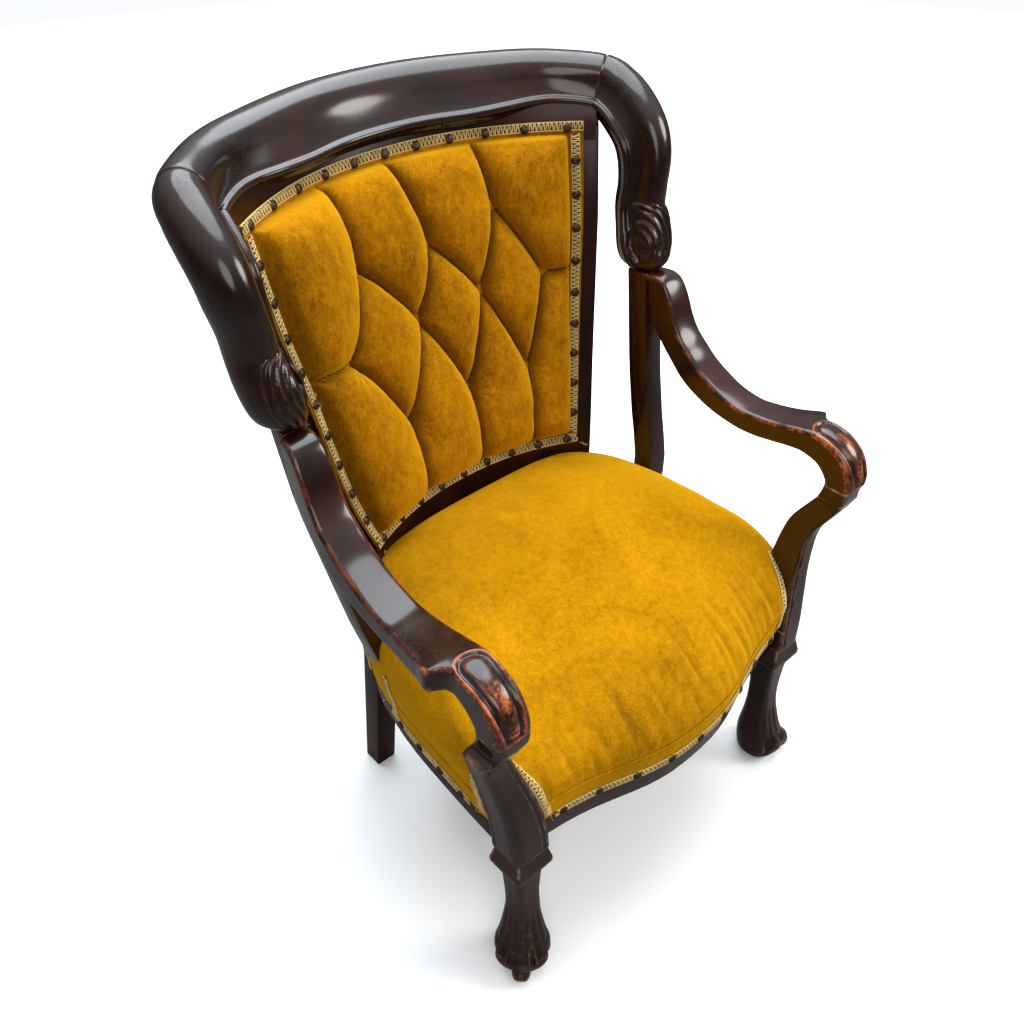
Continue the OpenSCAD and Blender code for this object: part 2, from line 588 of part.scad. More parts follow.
// Low dome of diameter d and height h, flat side down
module dome(d, h) {
  rotate_extrude($fn = 24) polygon(concat([[0, 0]], [for (a = [0 : 15 : 90]) [d / 2 * cos(a), h * sin(a)]]));
}
module back_buttons() {
  color(c_velvet) for (b = buttons) on_normal(b[0], b[1], button_level * tuft_depth + velvet_t) dome(17, 6);
}
gimp_out = 2 * gap;
border = 14;
module gimp_back_top() {
  color(c_gimp) panel_slab(-1, 1, 28, 903 - border, 903, 1, gimp_out, gimp_out + gimp_t);
}
module gimp_back_bottom() {
  color(c_gimp) panel_slab(-1, 1, 28, 459, 459 + border, 1, gimp_out, gimp_out + gimp_t);
}
module gimp_back_right() {
  color(c_gimp) panel_slab(0.935, 1, 1, 459 + border + gap, 903 - border - gap, 14, gimp_out, gimp_out + gimp_t);
}
module gimp_back_left() {
  color(c_gimp) panel_slab(-1, -0.935, 1, 459 + border + gap, 903 - border - gap, 14, gimp_out, gimp_out + gimp_t);
}
// Domed nail with a short shank, one turned profile
module nail() {
  shank = 0.8;
  rotate_extrude($fn = 24) polygon(concat([[0, -5], [shank, -5], [shank, 0]],
    [for (a = [0 : 15 : 90]) [nail_d / 2 * cos(a), 3.5 * sin(a)]]));
}
module back_nails() {
  out = gimp_out + gimp_t;
  mid = border / 2;
  color(c_steel) {
    for (k = [-5 : 5]) on_normal(k * 0.187, 903 - mid, out) nail();
    for (k = [-4 : 4]) on_normal(k * 0.23, 459 + mid, out) nail();
    for (z = [503, 547, 591, 635, 679, 723, 767, 811, 855], s = [-0.967, 0.967])
      on_normal(s, z, out) nail();
  }
}

// ---- braid and nails of the seat -----------------------------------------------------
skirt = 4 + gap;
module front_band(low, high, from, to) {
  translate([0, 0, low]) linear_extrude(high - low) polygon(strip(both(here(
    [for (p = front_face) if (p[0] <= 216) p])), to, from));
}
gimp_low = rail_top - cover_drop - 2;
module gimp_seat_front() {
  color(c_gimp) front_band(gimp_low, gimp_low + gimp_w, skirt, skirt + gimp_t);
}
module gimp_seat_right() {
  line = here([for (p = side_face) if (p[1] > 120 && p[1] < 296) p]);
  color(c_gimp) translate([0, 0, gimp_low]) linear_extrude(gimp_w)
    polygon(strip(line, skirt + gimp_t, skirt));
}
module gimp_seat_left() {
  mirror([1, 0, 0]) gimp_seat_right();
}
strip_z = rail_top + 20;
strip_h = 46;
bulge = 8 + gap;
module upright_braid(line) {
  translate([0, 0, strip_z]) linear_extrude(strip_h)
    polygon(strip(here(line), bulge + gimp_t, bulge));
}
module gimp_front_post_right() {
  color(c_gimp) {
    upright_braid([[205, 43.5], [219, 44.8]]);
    upright_braid([[275.2, 122], [274.5, 136]]);
  }
}
module gimp_front_post_left() {
  mirror([1, 0, 0]) gimp_front_post_right();
}
module gimp_back_post_right() {
  color(c_gimp) {
    upright_braid([[264, 280], [261.5, 294]]);
    upright_braid([[248, 366], [242.5, 377]]);
  }
}
module gimp_back_post_left() {
  mirror([1, 0, 0]) gimp_back_post_right();
}
module seat_nails() {
  z = gimp_low + gimp_w / 2;
  span = 205;
  color(c_steel) {
    for (k = [0 : front_nails - 1]) {
      x = -span + 2 * span * k / (front_nails - 1);
      x2 = abs(x) + 2;
      a = atan2(look(x2, front_face) - look(abs(x), front_face), 2) * sign(x);
      translate([ax(x), ay(look(abs(x), front_face)) - skirt - gimp_t, z])
        rotate([0, 0, a]) rotate([90, 0, 0]) nail();
    }
    both_sides() for (v = [136, 181, 226, 271])
      translate([ax(look(v, [for (p = side_face) [p[1], p[0]]])) + skirt + gimp_t, ay(v), z])
        rotate([0, 90, 0]) nail();
  }
}

crest_rail();
crest_ear_left();
crest_ear_right();
rear_leg_left();
rear_leg_right();
back_top_rail();
back_bottom_rail();
back_post_left();
back_post_right();
arm_left();
arm_right();
front_leg_left();
front_leg_right();
front_rail();
side_rail_left();
side_rail_right();
rear_rail();
corner_block_front_left();
corner_block_front_right();
corner_block_rear_left();
corner_block_rear_right();
block_screws();
arm_dowels();
scroll_dowels();
webbing_lengthways();
webbing_crossways();
seat_springs();
seat_hessian();
seat_stuffing();
seat_cover();
seat_border_front();
seat_border_left();
seat_border_right();
dust_cover();
back_webbing();
back_hessian();
back_stuffing();
back_cover();
back_buttons();
outside_back_cover();
gimp_back_top();
gimp_back_bottom();
gimp_back_left();
gimp_back_right();
gimp_seat_front();
gimp_seat_left();
gimp_seat_right();
gimp_front_post_left();
gimp_front_post_right();
gimp_back_post_left();
gimp_back_post_right();
back_nails();
seat_nails();
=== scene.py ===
# %% [markdown]
# # An upholstered armchair with a horseshoe crest and a deep buttoned back
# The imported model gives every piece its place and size. This lesson gives those pieces the
# looks of the real chair: carved and polished mahogany, golden velvet, braid and nails.
# Everything is in metres, the chair faces -Y and stands on the floor at Z = 0.

import math

import bpy
import numpy as np
from mathutils import Matrix, Vector


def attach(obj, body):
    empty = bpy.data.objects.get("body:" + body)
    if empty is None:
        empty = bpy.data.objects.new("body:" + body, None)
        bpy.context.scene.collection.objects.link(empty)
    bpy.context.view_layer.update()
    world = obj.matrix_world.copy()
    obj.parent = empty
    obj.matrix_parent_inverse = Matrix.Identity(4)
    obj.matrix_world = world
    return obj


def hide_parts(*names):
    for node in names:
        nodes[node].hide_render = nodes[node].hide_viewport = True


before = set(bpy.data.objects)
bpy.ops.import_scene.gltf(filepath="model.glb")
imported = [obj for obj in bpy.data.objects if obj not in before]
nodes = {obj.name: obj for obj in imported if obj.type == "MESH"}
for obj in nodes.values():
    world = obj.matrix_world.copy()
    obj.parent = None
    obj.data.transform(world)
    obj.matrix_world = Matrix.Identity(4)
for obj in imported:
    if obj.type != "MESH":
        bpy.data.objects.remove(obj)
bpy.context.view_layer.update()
bpy.ops.object.select_all(action="DESELECT")
print("nodes in the frame:", len(nodes))

# %% [markdown]
# ## Camera
# The chair is seen from its right front, well above the arms. The camera comes first, so
# that every later step can be judged from the same place. Its turn is written as the two
# directions that a person would name: where it looks, and which way is right.

# %% Make the camera
bpy.ops.object.camera_add(location=(-0.6925, -0.7628, 1.3037))
camera = bpy.context.object
camera.name = "room_camera"
camera.data.lens = 33.78
camera.data.sensor_width = 36
camera.data.shift_x = -0.0027
camera.data.clip_start = 0.05
look_along = Vector((0.51555, 0.58255, -0.62836)).normalized()
to_right = Vector((0.74321, -0.66898, -0.01042)).normalized()
upwards = to_right.cross(look_along)
camera.rotation_mode = "QUATERNION"
camera.rotation_quaternion = Matrix((to_right, upwards, -look_along)).transposed().to_quaternion()
bpy.context.scene.camera = camera
print("camera height:", round(camera.location.z, 3))

# %% [markdown]
# ## Floor and light
# A large pale disc is the floor. Dark polish mirrors whatever is round it, so the floor and the
# horizon are dim for every ray that does not come from the camera, and the sky is bright
# overhead: the wood shows it as long pale highlights on every face that looks up, and stays
# nearly black below. A Light Path node tells the two kinds of ray apart.

# %% Make the floor
floor_radius = 6.0
bpy.ops.mesh.primitive_circle_add(vertices=96, radius=floor_radius, fill_type="NGON", location=(0, 0, 0))
floor = bpy.context.object
floor.name = "studio_floor"
bpy.ops.object.mode_set(mode="EDIT")
bpy.ops.mesh.inset(thickness=2.5, depth=0)
bpy.ops.object.mode_set(mode="OBJECT")
pale = bpy.data.materials.new("pale_floor")
pale.use_nodes = True
floor_nodes, floor_links = pale.node_tree.nodes, pale.node_tree.links
floor_shader = floor_nodes["Principled BSDF"]
floor_shader.inputs["Roughness"].default_value = 0.9
# seen directly the floor is pale, but it throws little light back under the chair
path = floor_nodes.new("ShaderNodeLightPath")
swap_floor = floor_nodes.new("ShaderNodeMix")
swap_floor.data_type = "RGBA"
swap_floor.inputs[6].default_value = (0.16, 0.15, 0.14, 1)
swap_floor.inputs[7].default_value = (0.95, 0.95, 0.95, 1)
floor_links.new(path.outputs["Is Camera Ray"], swap_floor.inputs[0])
floor_links.new(swap_floor.outputs[2], floor_shader.inputs["Base Color"])
# further out it glows for the camera only, so that its rim melts into the white sky
spot = floor_nodes.new("ShaderNodeTexCoord")
reach = floor_nodes.new("ShaderNodeVectorMath")
reach.operation = "LENGTH"
glow = floor_nodes.new("ShaderNodeMapRange")
for socket, number in (("From Min", 0.45), ("From Max", 1.6), ("To Min", 0.0), ("To Max", 0.9)):
    glow.inputs[socket].default_value = number
only_seen = floor_nodes.new("ShaderNodeMath")
only_seen.operation = "MULTIPLY"
floor_links.new(spot.outputs["Object"], reach.inputs[0])
floor_links.new(reach.outputs["Value"], glow.inputs["Value"])
floor_links.new(glow.outputs["Result"], only_seen.inputs[0])
floor_links.new(path.outputs["Is Camera Ray"], only_seen.inputs[1])
floor_shader.inputs["Emission Color"].default_value = (1, 1, 1, 1)
floor_links.new(only_seen.outputs[0], floor_shader.inputs["Emission Strength"])
floor.data.materials.append(pale)
print("floor radius:", floor_radius)

# %% Make the sky and the lamps
scene = bpy.context.scene
scene.view_settings.view_transform = "Standard"
world = bpy.data.worlds.new("overcast")
scene.world = world
world.use_nodes = True
# bright overhead and dim at the horizon; the camera itself sees plain white. In a world,
# Generated is the direction in which a ray leaves the scene
sky = world.node_tree
aim = sky.nodes.new("ShaderNodeTexCoord")
split = sky.nodes.new("ShaderNodeSeparateXYZ")
rise = sky.nodes.new("ShaderNodeMath")
rise.operation = "ABSOLUTE"
fade = sky.nodes.new("ShaderNodeMapRange")
for socket, number in (("From Min", 0.1), ("From Max", 0.85), ("To Min", 0.09), ("To Max", 0.9)):
    fade.inputs[socket].default_value = number
seen = sky.nodes.new("ShaderNodeLightPath")
plain_white = sky.nodes.new("ShaderNodeMath")
plain_white.operation = "MAXIMUM"
sky.links.new(aim.outputs["Generated"], split.inputs[0])
sky.links.new(split.outputs["Z"], rise.inputs[0])
sky.links.new(rise.outputs[0], fade.inputs["Value"])
sky.links.new(fade.outputs["Result"], plain_white.inputs[0])
sky.links.new(seen.outputs["Is Camera Ray"], plain_white.inputs[1])
sky.links.new(plain_white.outputs[0], sky.nodes["Background"].inputs["Strength"])
sky.nodes["Background"].inputs["Color"].default_value = (0.95, 0.97, 1.0, 1)


def soft_lamp(name, place, aim, size, watts, colour):
    """One round soft lamp at place, facing aim."""
    bpy.ops.object.light_add(type="AREA", location=place)
    lamp = bpy.context.object
    lamp.name = name
    lamp.data.shape = "DISK"
    lamp.data.size = size
    lamp.data.energy = watts
    lamp.data.color = colour
    lamp.rotation_euler = (Vector(aim) - Vector(place)).to_track_quat("-Z", "Y").to_euler()
    return lamp


soft_lamp("sky_panel", (0.5, 0.6, 3.0), (0, 0.0, 0.4), 3.0, 130, (0.86, 0.93, 1.0))
soft_lamp("window_right", (1.9, -1.7, 2.0), (0, 0, 0.5), 1.3, 46, (1.0, 0.98, 0.94))
soft_lamp("front_fill", (-1.4, -2.0, 2.0), (0, 0, 0.5), 1.6, 22, (1.0, 0.97, 0.92))
print("lamps: 3")

# %% [markdown]
# ## Helpers that every step uses
# Sizes below are in millimetres. Depth is counted back from the crown of the front seat rail,
# as an upholsterer measures, and `metres` carries such a point into the frame.

# %% Points, smooth curves and shaped sheets
crown_depth = 329.1
rng = np.random.default_rng(7)


def metres(points):
    """Points (width, depth, height) in millimetres to metres in the frame."""
    p = np.array(points, float)
    p[..., 1] -= crown_depth
    return p / 1000


def smooth(rows, steps):
    """Catmull-Rom curve through the rows of a table, `steps` samples to a row."""
    p = np.array(rows, float)
    last = len(p) - 1
    out = []
    for i in range(last):
        a, b, c, d = p[max(i - 1, 0)], p[i], p[i + 1], p[min(i + 2, last)]
        for k in range(steps):
            t = k / steps
            bend = (2 * a - 5 * b + 4 * c - d) * t * t + (3 * b - a - 3 * c + d) * t**3
            out.append(0.5 * (2 * b + (c - a) * t + bend))
    out.append(p[-1])
    return np.array(out)


def even(rows, spacing, axes=3):
    """The same curve with its samples a fixed distance apart, measured on the first axes."""
    p = np.asarray(rows, float)
    step = np.linalg.norm(np.diff(p[:, :axes], axis=0), axis=1)
    along = np.concatenate([[0], np.cumsum(step)])
    n = max(2, int(round(along[-1] / spacing)) + 1)
    at = np.linspace(0, along[-1], n)
    return np.stack([np.interp(at, along, p[:, k]) for k in range(p.shape[1])], 1), at


def unit(v):
    return v / np.linalg.norm(v, axis=-1, keepdims=True)


def keep_value(piece, name, values):
    """Stores one number for each point of the piece, for its material to read."""
    layer = piece.data.attributes.get(name) or piece.data.attributes.new(name, "FLOAT", "POINT")
    layer.data.foreach_set("value", np.asarray(values, np.float32).ravel())


def shaped_sheet(name, points, tube=False, cap=True, values=None):
    """A grid primitive whose rows and columns are moved to `points` (rows, columns, 3). A tube
    is rolled up: its last column meets its first, and its two ends are filled. `values` are
    numbers known at the points, kept by name."""
    rows, columns = points.shape[:2]
    bpy.ops.object.select_all(action="DESELECT")
    bpy.ops.mesh.primitive_grid_add(x_subdivisions=columns - 1, y_subdivisions=rows - 1, size=1)
    piece = bpy.context.object
    piece.name = name
    piece.data.name = name
    piece.data.vertices.foreach_set("co", points.astype(np.float32).ravel())
    piece.data.update()
    for key, value in (values or {}).items():
        keep_value(piece, key, value)
    if tube:
        bpy.ops.object.mode_set(mode="EDIT")
        bpy.ops.mesh.select_all(action="SELECT")
        bpy.ops.mesh.remove_doubles(threshold=1e-6)
        if cap:
            bpy.ops.mesh.select_all(action="DESELECT")
            bpy.ops.mesh.select_non_manifold()
            bpy.ops.mesh.fill_holes(sides=0)
        bpy.ops.mesh.select_all(action="SELECT")
        bpy.ops.mesh.normals_make_consistent(inside=False)
        bpy.ops.object.mode_set(mode="OBJECT")
    bpy.ops.object.shade_smooth()
    return piece


def joined(name, parts):
    """Several pieces made one object."""
    bpy.ops.object.select_all(action="DESELECT")
    for p in parts:
        p.select_set(True)
    bpy.context.view_layer.objects.active = parts[0]
    if len(parts) > 1:
        bpy.ops.object.join()
    parts[0].name = name
    parts[0].data.name = name
    return parts[0]


def mirrored(piece, name):
    """A copy of the piece for the other side of the chair, with its own mesh."""
    bpy.ops.object.select_all(action="DESELECT")
    piece.select_set(True)
    bpy.context.view_layer.objects.active = piece
    bpy.ops.object.duplicate()
    other = bpy.context.object
    other.name = name
    other.data.name = name
    other.scale.x = -1
    bpy.ops.object.transform_apply(location=False, rotation=False, scale=True)
    bpy.ops.object.mode_set(mode="EDIT")
    bpy.ops.mesh.select_all(action="SELECT")
    bpy.ops.mesh.normals_make_consistent(inside=False)
    bpy.ops.object.mode_set(mode="OBJECT")
    return other


print("helpers ready")

# %% [markdown]
# ## Where polish wears
# Hands and cloths rub a chair on its sharp edges, and dust stays in the hollows. Both can be
# measured on the mesh: a point that stands above the average of its neighbours is on an edge,
# one that lies below is in a hollow. The two numbers are kept as attributes for the materials.

# %% Measure edges and hollows
def corners_of(piece):
    co = np.empty(len(piece.data.vertices) * 3, np.float32)
    piece.data.vertices.foreach_get("co", co)
    return co.reshape(-1, 3).astype(float)


def neighbour_mean(piece):
    """A function that replaces each point's value by the mean of its neighbours' values."""
    ends = np.empty(len(piece.data.edges) * 2, np.int32)
    piece.data.edges.foreach_get("vertices", ends)
    a, b = ends.reshape(-1, 2).T
    n = len(piece.data.vertices)
    count = np.maximum(np.bincount(a, minlength=n) + np.bincount(b, minlength=n), 1)

    def mean(x):
        if x.ndim == 2:
            return np.stack([mean(x[:, k]) for k in range(x.shape[1])], 1)
        return (np.bincount(a, x[b], n) + np.bincount(b, x[a], n)) / count

    return mean


def mark_edges(piece, spread=2, gain=1.0):
    """Writes attributes `edge` and `hollow`, 0 to 1, from how sharply the surface bends."""
    co = corners_of(piece)
    normal = np.empty(len(co) * 3, np.float32)
    piece.data.vertices.foreach_get("normal", normal)
    mean = neighbour_mean(piece)
    rise = co - mean(co)
    size = np.sqrt(np.maximum(mean((co**2).sum(1)) - (mean(co) ** 2).sum(1), 1e-8))
    bend = (rise * normal.reshape(-1, 3)).sum(1) / size**2
    for _ in range(spread):
        bend = mean(bend)
    keep_value(piece, "edge", np.clip(bend * gain / 110 - 0.12, 0, 1))
    keep_value(piece, "hollow", np.clip(-bend * gain / 90 - 0.05, 0, 1))
    return bend


print("edge marking ready")

# %% [markdown]
# ## Polished mahogany
# The wood is stained almost black over a red ground and finished with shellac. One node group
# makes the colour: dark figure, red patches where the stain has thinned, orange wood on rubbed
# edges, dull dirt in hollows. The shader stays in each material, so that its gloss is plain.

# %% Node helpers
def add(tree, kind, inputs=None, **settings):
    """A node with its settings, and its inputs linked or set."""
    n = tree.nodes.new(kind)
    for key, value in settings.items():
        setattr(n, key, value)
    for key, value in (inputs or {}).items():
        if isinstance(value, bpy.types.NodeSocket):
            tree.links.new(value, n.inputs[key])
        else:
            n.inputs[key].default_value = value
    return n


def math_node(tree, operation, a, b=0.5, clamp=False):
    n = tree.nodes.new("ShaderNodeMath")
    n.operation = operation
    n.use_clamp = clamp
    for socket, value in zip(n.inputs, (a, b)):
        if isinstance(value, bpy.types.NodeSocket):
            tree.links.new(value, socket)
        else:
            socket.default_value = value
    return n.outputs[0]


def blend_colour(tree, amount, a, b, blend="MIX"):
    n = tree.nodes.new("ShaderNodeMix")
    n.data_type = "RGBA"
    n.blend_type = blend
    for key, value in ((0, amount), (6, a), (7, b)):
        if isinstance(value, bpy.types.NodeSocket):
            tree.links.new(value, n.inputs[key])
        else:
            n.inputs[key].default_value = value
    return n.outputs[2]


def ramp(tree, value, stops):
    """Maps a value through colour stops [(place, grey or colour)]."""
    n = tree.nodes.new("ShaderNodeValToRGB")
    while len(n.color_ramp.elements) < len(stops):
        n.color_ramp.elements.new(0.5)
    for e, (place, colour) in zip(n.color_ramp.elements, stops):
        e.position = place
        e.color = (*colour, 1) if isinstance(colour, tuple) else (colour, colour, colour, 1)
    tree.links.new(value, n.inputs[0])
    return n.outputs[0]


def noise(tree, place, scale, detail=4.0, rough=0.55, distortion=0.0):
    return add(tree, "ShaderNodeTexNoise", {"Vector": place, "Scale": scale, "Detail": detail,
               "Roughness": rough, "Distortion": distortion}).outputs["Fac"]


def new_group(name, inputs, outputs):
    """An empty node group with named sockets [(name, kind, default)]."""
    g = bpy.data.node_groups.new(name, "ShaderNodeTree")
    for label, kind, value in inputs:
        s = g.interface.new_socket(name=label, in_out="INPUT", socket_type=kind)
        s.default_value = value
    for label, kind in outputs:
        g.interface.new_socket(name=label, in_out="OUTPUT", socket_type=kind)
    return g, g.nodes.new("NodeGroupInput"), g.nodes.new("NodeGroupOutput")


COLOUR, FLOAT = "NodeSocketColor", "NodeSocketFloat"
print("node helpers ready")

# %% Build the wood group
wood_group, g_in, g_out = new_group("aged_polish",
    [("Dark", COLOUR, (0.006, 0.003, 0.002, 1)), ("Red", COLOUR, (0.055, 0.010, 0.005, 1)),
     ("Worn", COLOUR, (0.52, 0.13, 0.035, 1)), ("Wear", FLOAT, 1.0), ("Redness", FLOAT, 0.4)],
    [("Colour", COLOUR), ("Roughness", FLOAT), ("Height", FLOAT)])
t = wood_group
place = add(t, "ShaderNodeTexCoord").outputs["Object"]
drawn = add(t, "ShaderNodeMapping", {"Vector": place, "Scale": (1.0, 1.0, 0.22)}).outputs[0]
figure = noise(t, drawn, 55, 6, 0.62, 0.4)
patches = noise(t, place, 7.5, 3, 0.5, 0.6)
red_mask = ramp(t, patches, [(0.42, 0.0), (0.68, 1.0)])
red_mask = math_node(t, "MULTIPLY", red_mask, g_in.outputs["Redness"])
grain = ramp(t, figure, [(0.35, 0.0), (0.75, 1.0)])
base = blend_colour(t, math_node(t, "MULTIPLY", grain, 0.3), g_in.outputs["Dark"], g_in.outputs["Red"])
base = blend_colour(t, red_mask, base, g_in.outputs["Red"])
edge = add(t, "ShaderNodeAttribute", attribute_name="edge").outputs["Fac"]
rub = add(t, "ShaderNodeAttribute", attribute_name="rub").outputs["Fac"]
craze = add(t, "ShaderNodeAttribute", attribute_name="craze").outputs["Fac"]
hollow = add(t, "ShaderNodeAttribute", attribute_name="hollow").outputs["Fac"]
broken = noise(t, place, 46, 5, 0.7)
broken = ramp(t, broken, [(0.40, 0.1), (0.62, 1.0)])
speck = ramp(t, noise(t, place, 210, 3, 0.7), [(0.40, 0.2), (0.62, 1.0)])
edge_wear = math_node(t, "MULTIPLY", math_node(t, "MULTIPLY", edge, broken), g_in.outputs["Wear"], True)
rub_wear = math_node(t, "MULTIPLY", math_node(t, "MULTIPLY", rub, broken), speck, True)
wear = math_node(t, "MAXIMUM", edge_wear, rub_wear, True)
deep_red = blend_colour(t, 0.5, g_in.outputs["Red"], g_in.outputs["Worn"])
worn = blend_colour(t, ramp(t, wear, [(0.25, 0.0), (0.85, 1.0)]), deep_red, g_in.outputs["Worn"])
colour = blend_colour(t, ramp(t, wear, [(0.04, 0.0), (0.45, 1.0)]), base, worn)
colour = blend_colour(t, math_node(t, "MULTIPLY", hollow, 0.7, True), colour, (0.010, 0.008, 0.007, 1))
t.links.new(colour, g_out.inputs["Colour"])
cells = add(t, "ShaderNodeTexVoronoi", {"Vector": place, "Scale": 420.0}, feature="DISTANCE_TO_EDGE")
cracks = ramp(t, cells.outputs["Distance"], [(0.0, 1.0), (0.16, 0.0)])
cracks = math_node(t, "MULTIPLY", math_node(t, "MULTIPLY", cracks, craze), broken)
rough = math_node(t, "ADD", math_node(t, "MULTIPLY", wear, 0.25), math_node(t, "MULTIPLY", cracks, 0.4))
rough = math_node(t, "ADD", rough, math_node(t, "MULTIPLY", noise(t, place, 20, 4), 0.22))
t.links.new(math_node(t, "ADD", rough, 0.14, True), g_out.inputs["Roughness"])
height = math_node(t, "MULTIPLY", figure, 0.25)
height = math_node(t, "SUBTRACT", height, math_node(t, "MULTIPLY", cracks, 1.5))
height = math_node(t, "SUBTRACT", height, math_node(t, "MULTIPLY", wear, 0.5))
height = math_node(t, "ADD", height, math_node(t, "MULTIPLY", noise(t, place, 90, 3), 0.35))
t.links.new(height, g_out.inputs["Height"])
print("wood group nodes:", len(t.nodes))


# %% Make the wood materials
def finish_material(name, group, values, sockets, bump=0.0003):
    """A Principled material fed by one group, with its plain numbers on its own sockets."""
    m = bpy.data.materials.new(name)
    m.use_nodes = True
    tree = m.node_tree
    shader = tree.nodes["Principled BSDF"]
    g = tree.nodes.new("ShaderNodeGroup")
    g.node_tree = group
    for key, value in values.items():
        g.inputs[key].default_value = value
    tree.links.new(g.outputs["Colour"], shader.inputs["Base Color"])
    tree.links.new(g.outputs["Roughness"], shader.inputs["Roughness"])
    relief = add(tree, "ShaderNodeBump", {"Height": g.outputs["Height"], "Distance": bump, "Strength": 0.6})
    tree.links.new(relief.outputs[0], shader.inputs["Normal"])
    for key, value in sockets.items():
        shader.inputs[key].default_value = value
    return m


shellac = {"Coat Weight": 0.8, "Coat Roughness": 0.15, "Specular IOR Level": 0.12}
crest_wood = finish_material("crest_mahogany", wood_group,
    {"Wear": 0.2, "Redness": 0.4, "Red": (0.040, 0.008, 0.004, 1)}, shellac)
arm_wood = finish_material("arm_mahogany", wood_group, {"Wear": 0.85, "Redness": 0.5}, shellac)
# on the legs the rubbed edges turn pale tan: partly wear, partly a painted highlight along the ridges of the flutes and
# toes
leg_wood = finish_material("leg_mahogany", wood_group,
    {"Wear": 0.6, "Redness": 0.55, "Worn": (0.44, 0.28, 0.16, 1)}, {**shellac, "Specular IOR Level": 0.06})
dull_wood = finish_material("frame_mahogany", wood_group,
    {"Wear": 0.3, "Redness": 0.5}, {"Coat Weight": 0.3, "Coat Roughness": 0.25, "Specular IOR Level": 0.06})
print("wood materials: 4")

# %% [markdown]
# ## The horseshoe crest
# One moulding runs from ear to ear: a round roll outside, a slope inside and a thin bead
# against the upholstery. A real one is built up from bricks of wood and shaped with a scratch
# stock, so here one section is carried along the path. Each ring of the section stands square
# to the path, and the sheet of rings is rolled up into a bar. It is cut at its two old joints.

# %% The path and the section
# width, depth, height, outward direction (3), share of half width, share of half thickness
crest_path = [
    (0, 632, 952, 0.00, 0.82, 0.57, 1.00, 1.00), (64, 626, 952, 0.14, 0.81, 0.57, 1.00, 1.00),
    (123, 607, 952, 0.27, 0.78, 0.57, 1.00, 1.00), (176, 586, 951, 0.40, 0.72, 0.57, 1.00, 1.00),
    (222, 566, 949, 0.49, 0.65, 0.58, 1.00, 1.02), (259, 541, 946, 0.58, 0.56, 0.60, 1.00, 1.04),
    (298, 503, 940, 0.72, 0.32, 0.60, 1.00, 1.08), (306, 478, 929, 0.82, 0.12, 0.50, 1.00, 1.14),
    (308, 455, 912, 0.88, -0.08, 0.40, 1.00, 1.20), (308, 434, 889, 0.92, -0.22, 0.28, 0.96, 1.26),
    (307, 424, 862, 0.93, -0.30, 0.12, 0.90, 1.29), (303, 420, 829, 0.92, -0.36, 0.05, 0.82, 1.27),
    (300, 419, 800, 0.92, -0.38, 0.00, 0.86, 1.25), (298, 411, 775, 0.92, -0.38, 0.00, 0.94, 1.26),
    (294, 402, 750, 0.92, -0.38, 0.00, 0.97, 1.24), (291, 396, 734, 0.92, -0.38, 0.00, 0.86, 1.12),
    (290, 394, 725, 0.92, -0.38, 0.00, 0.70, 0.92), (290, 394, 720, 0.92, -0.38, 0.00, 0.46, 0.6)]
joint_row = 6
crest_hw, crest_ht, bead_r = 38.0, 28.0, 4.6
# Section from the outer edge over the top to the bead and back underneath, as shares
roll = [(1.0, 0.0), (0.97, 0.34), (0.86, 0.64), (0.68, 0.86), (0.44, 0.98), (0.18, 1.0), (-0.04, 0.93),
        (-0.20, 0.78), (-0.34, 0.60), (-0.48, 0.45), (-0.60, 0.34), (-0.70, 0.27)]
under = [(-0.93, -0.30), (-0.90, -0.52), (-0.72, -0.74), (-0.40, -0.90), (0.0, -0.97), (0.40, -0.93),
         (0.72, -0.74), (0.93, -0.40), (1.0, 0.0)]


def crest_section(hw, ht, drawn=0.0):
    """Closed section in millimetres; `drawn` is how much further the inner slope reaches."""
    top = smooth([(a * hw - drawn * min(max(-a / 0.7, 0), 1), b * ht) for a, b in roll], 5)
    low = smooth([(a * hw - drawn * min(max(-a / 0.93, 0), 1), b * ht) for a, b in under], 3)
    turn = np.radians(np.linspace(35, 235, 11))
    middle = np.array([-hw + bead_r - drawn, 0.17 * ht])
    bead = middle + bead_r * np.stack([np.cos(turn), np.sin(turn)], 1)
    return np.concatenate([top, bead, low])


def crest_rings(rows):
    """Rings of the section along the rows, each square to the path."""
    here = rows[:, :3]
    along = unit(np.gradient(here, axis=0))
    out = rows[:, 3:6]
    out = unit(out - along * (out * along).sum(1, keepdims=True))
    up = np.cross(along, out)
    rings = []
    for i in range(len(rows)):
        inner = min(max((288 - abs(here[i, 0])) / 170, 0), 1)
        drawn = 20.0 * inner**2 * (3 - 2 * inner)
        q = crest_section(crest_hw * rows[i, 6], crest_ht * rows[i, 7], drawn)
        rings.append(here[i] + out[i] * q[:, :1] + up[i] * q[:, 1:])
    return np.array(rings)


fine_path = smooth(crest_path, 16)
joint_at = joint_row * 16
half_rail, _ = even(fine_path[: joint_at + 1], 3.0)
ear_path, ear_along = even(fine_path[joint_at:], 2.0)
flip = np.array([-1, 1, 1, -1, 1, 1, 1, 1])
whole_rail = np.concatenate([half_rail[:0:-1] * flip, half_rail])
# the two halves meet without a kink in the middle
calm = whole_rail.copy()
for _ in range(160):
    calm[1:-1] = (calm[:-2] + 2 * calm[1:-1] + calm[2:]) / 4
near_middle = np.clip((190 - np.abs(whole_rail[:, :1])) / 60, 0, 1)
whole_rail = whole_rail + (calm - whole_rail) * near_middle
print("crest rings:", len(whole_rail), "ear rings:", len(ear_path))


# %% Make the crest rail
def soft_ends(rings, count=2, depth=0.012):
    """Eases the rings at both ends inwards a little, which shows as a hairline at a joint."""
    out = rings.copy()
    for k in range(count):
        share = 1 - depth * (1 - k / count)
        for i in (k, -1 - k):
            out[i] = out[i].mean(0) + (out[i] - out[i].mean(0)) * share
    return out


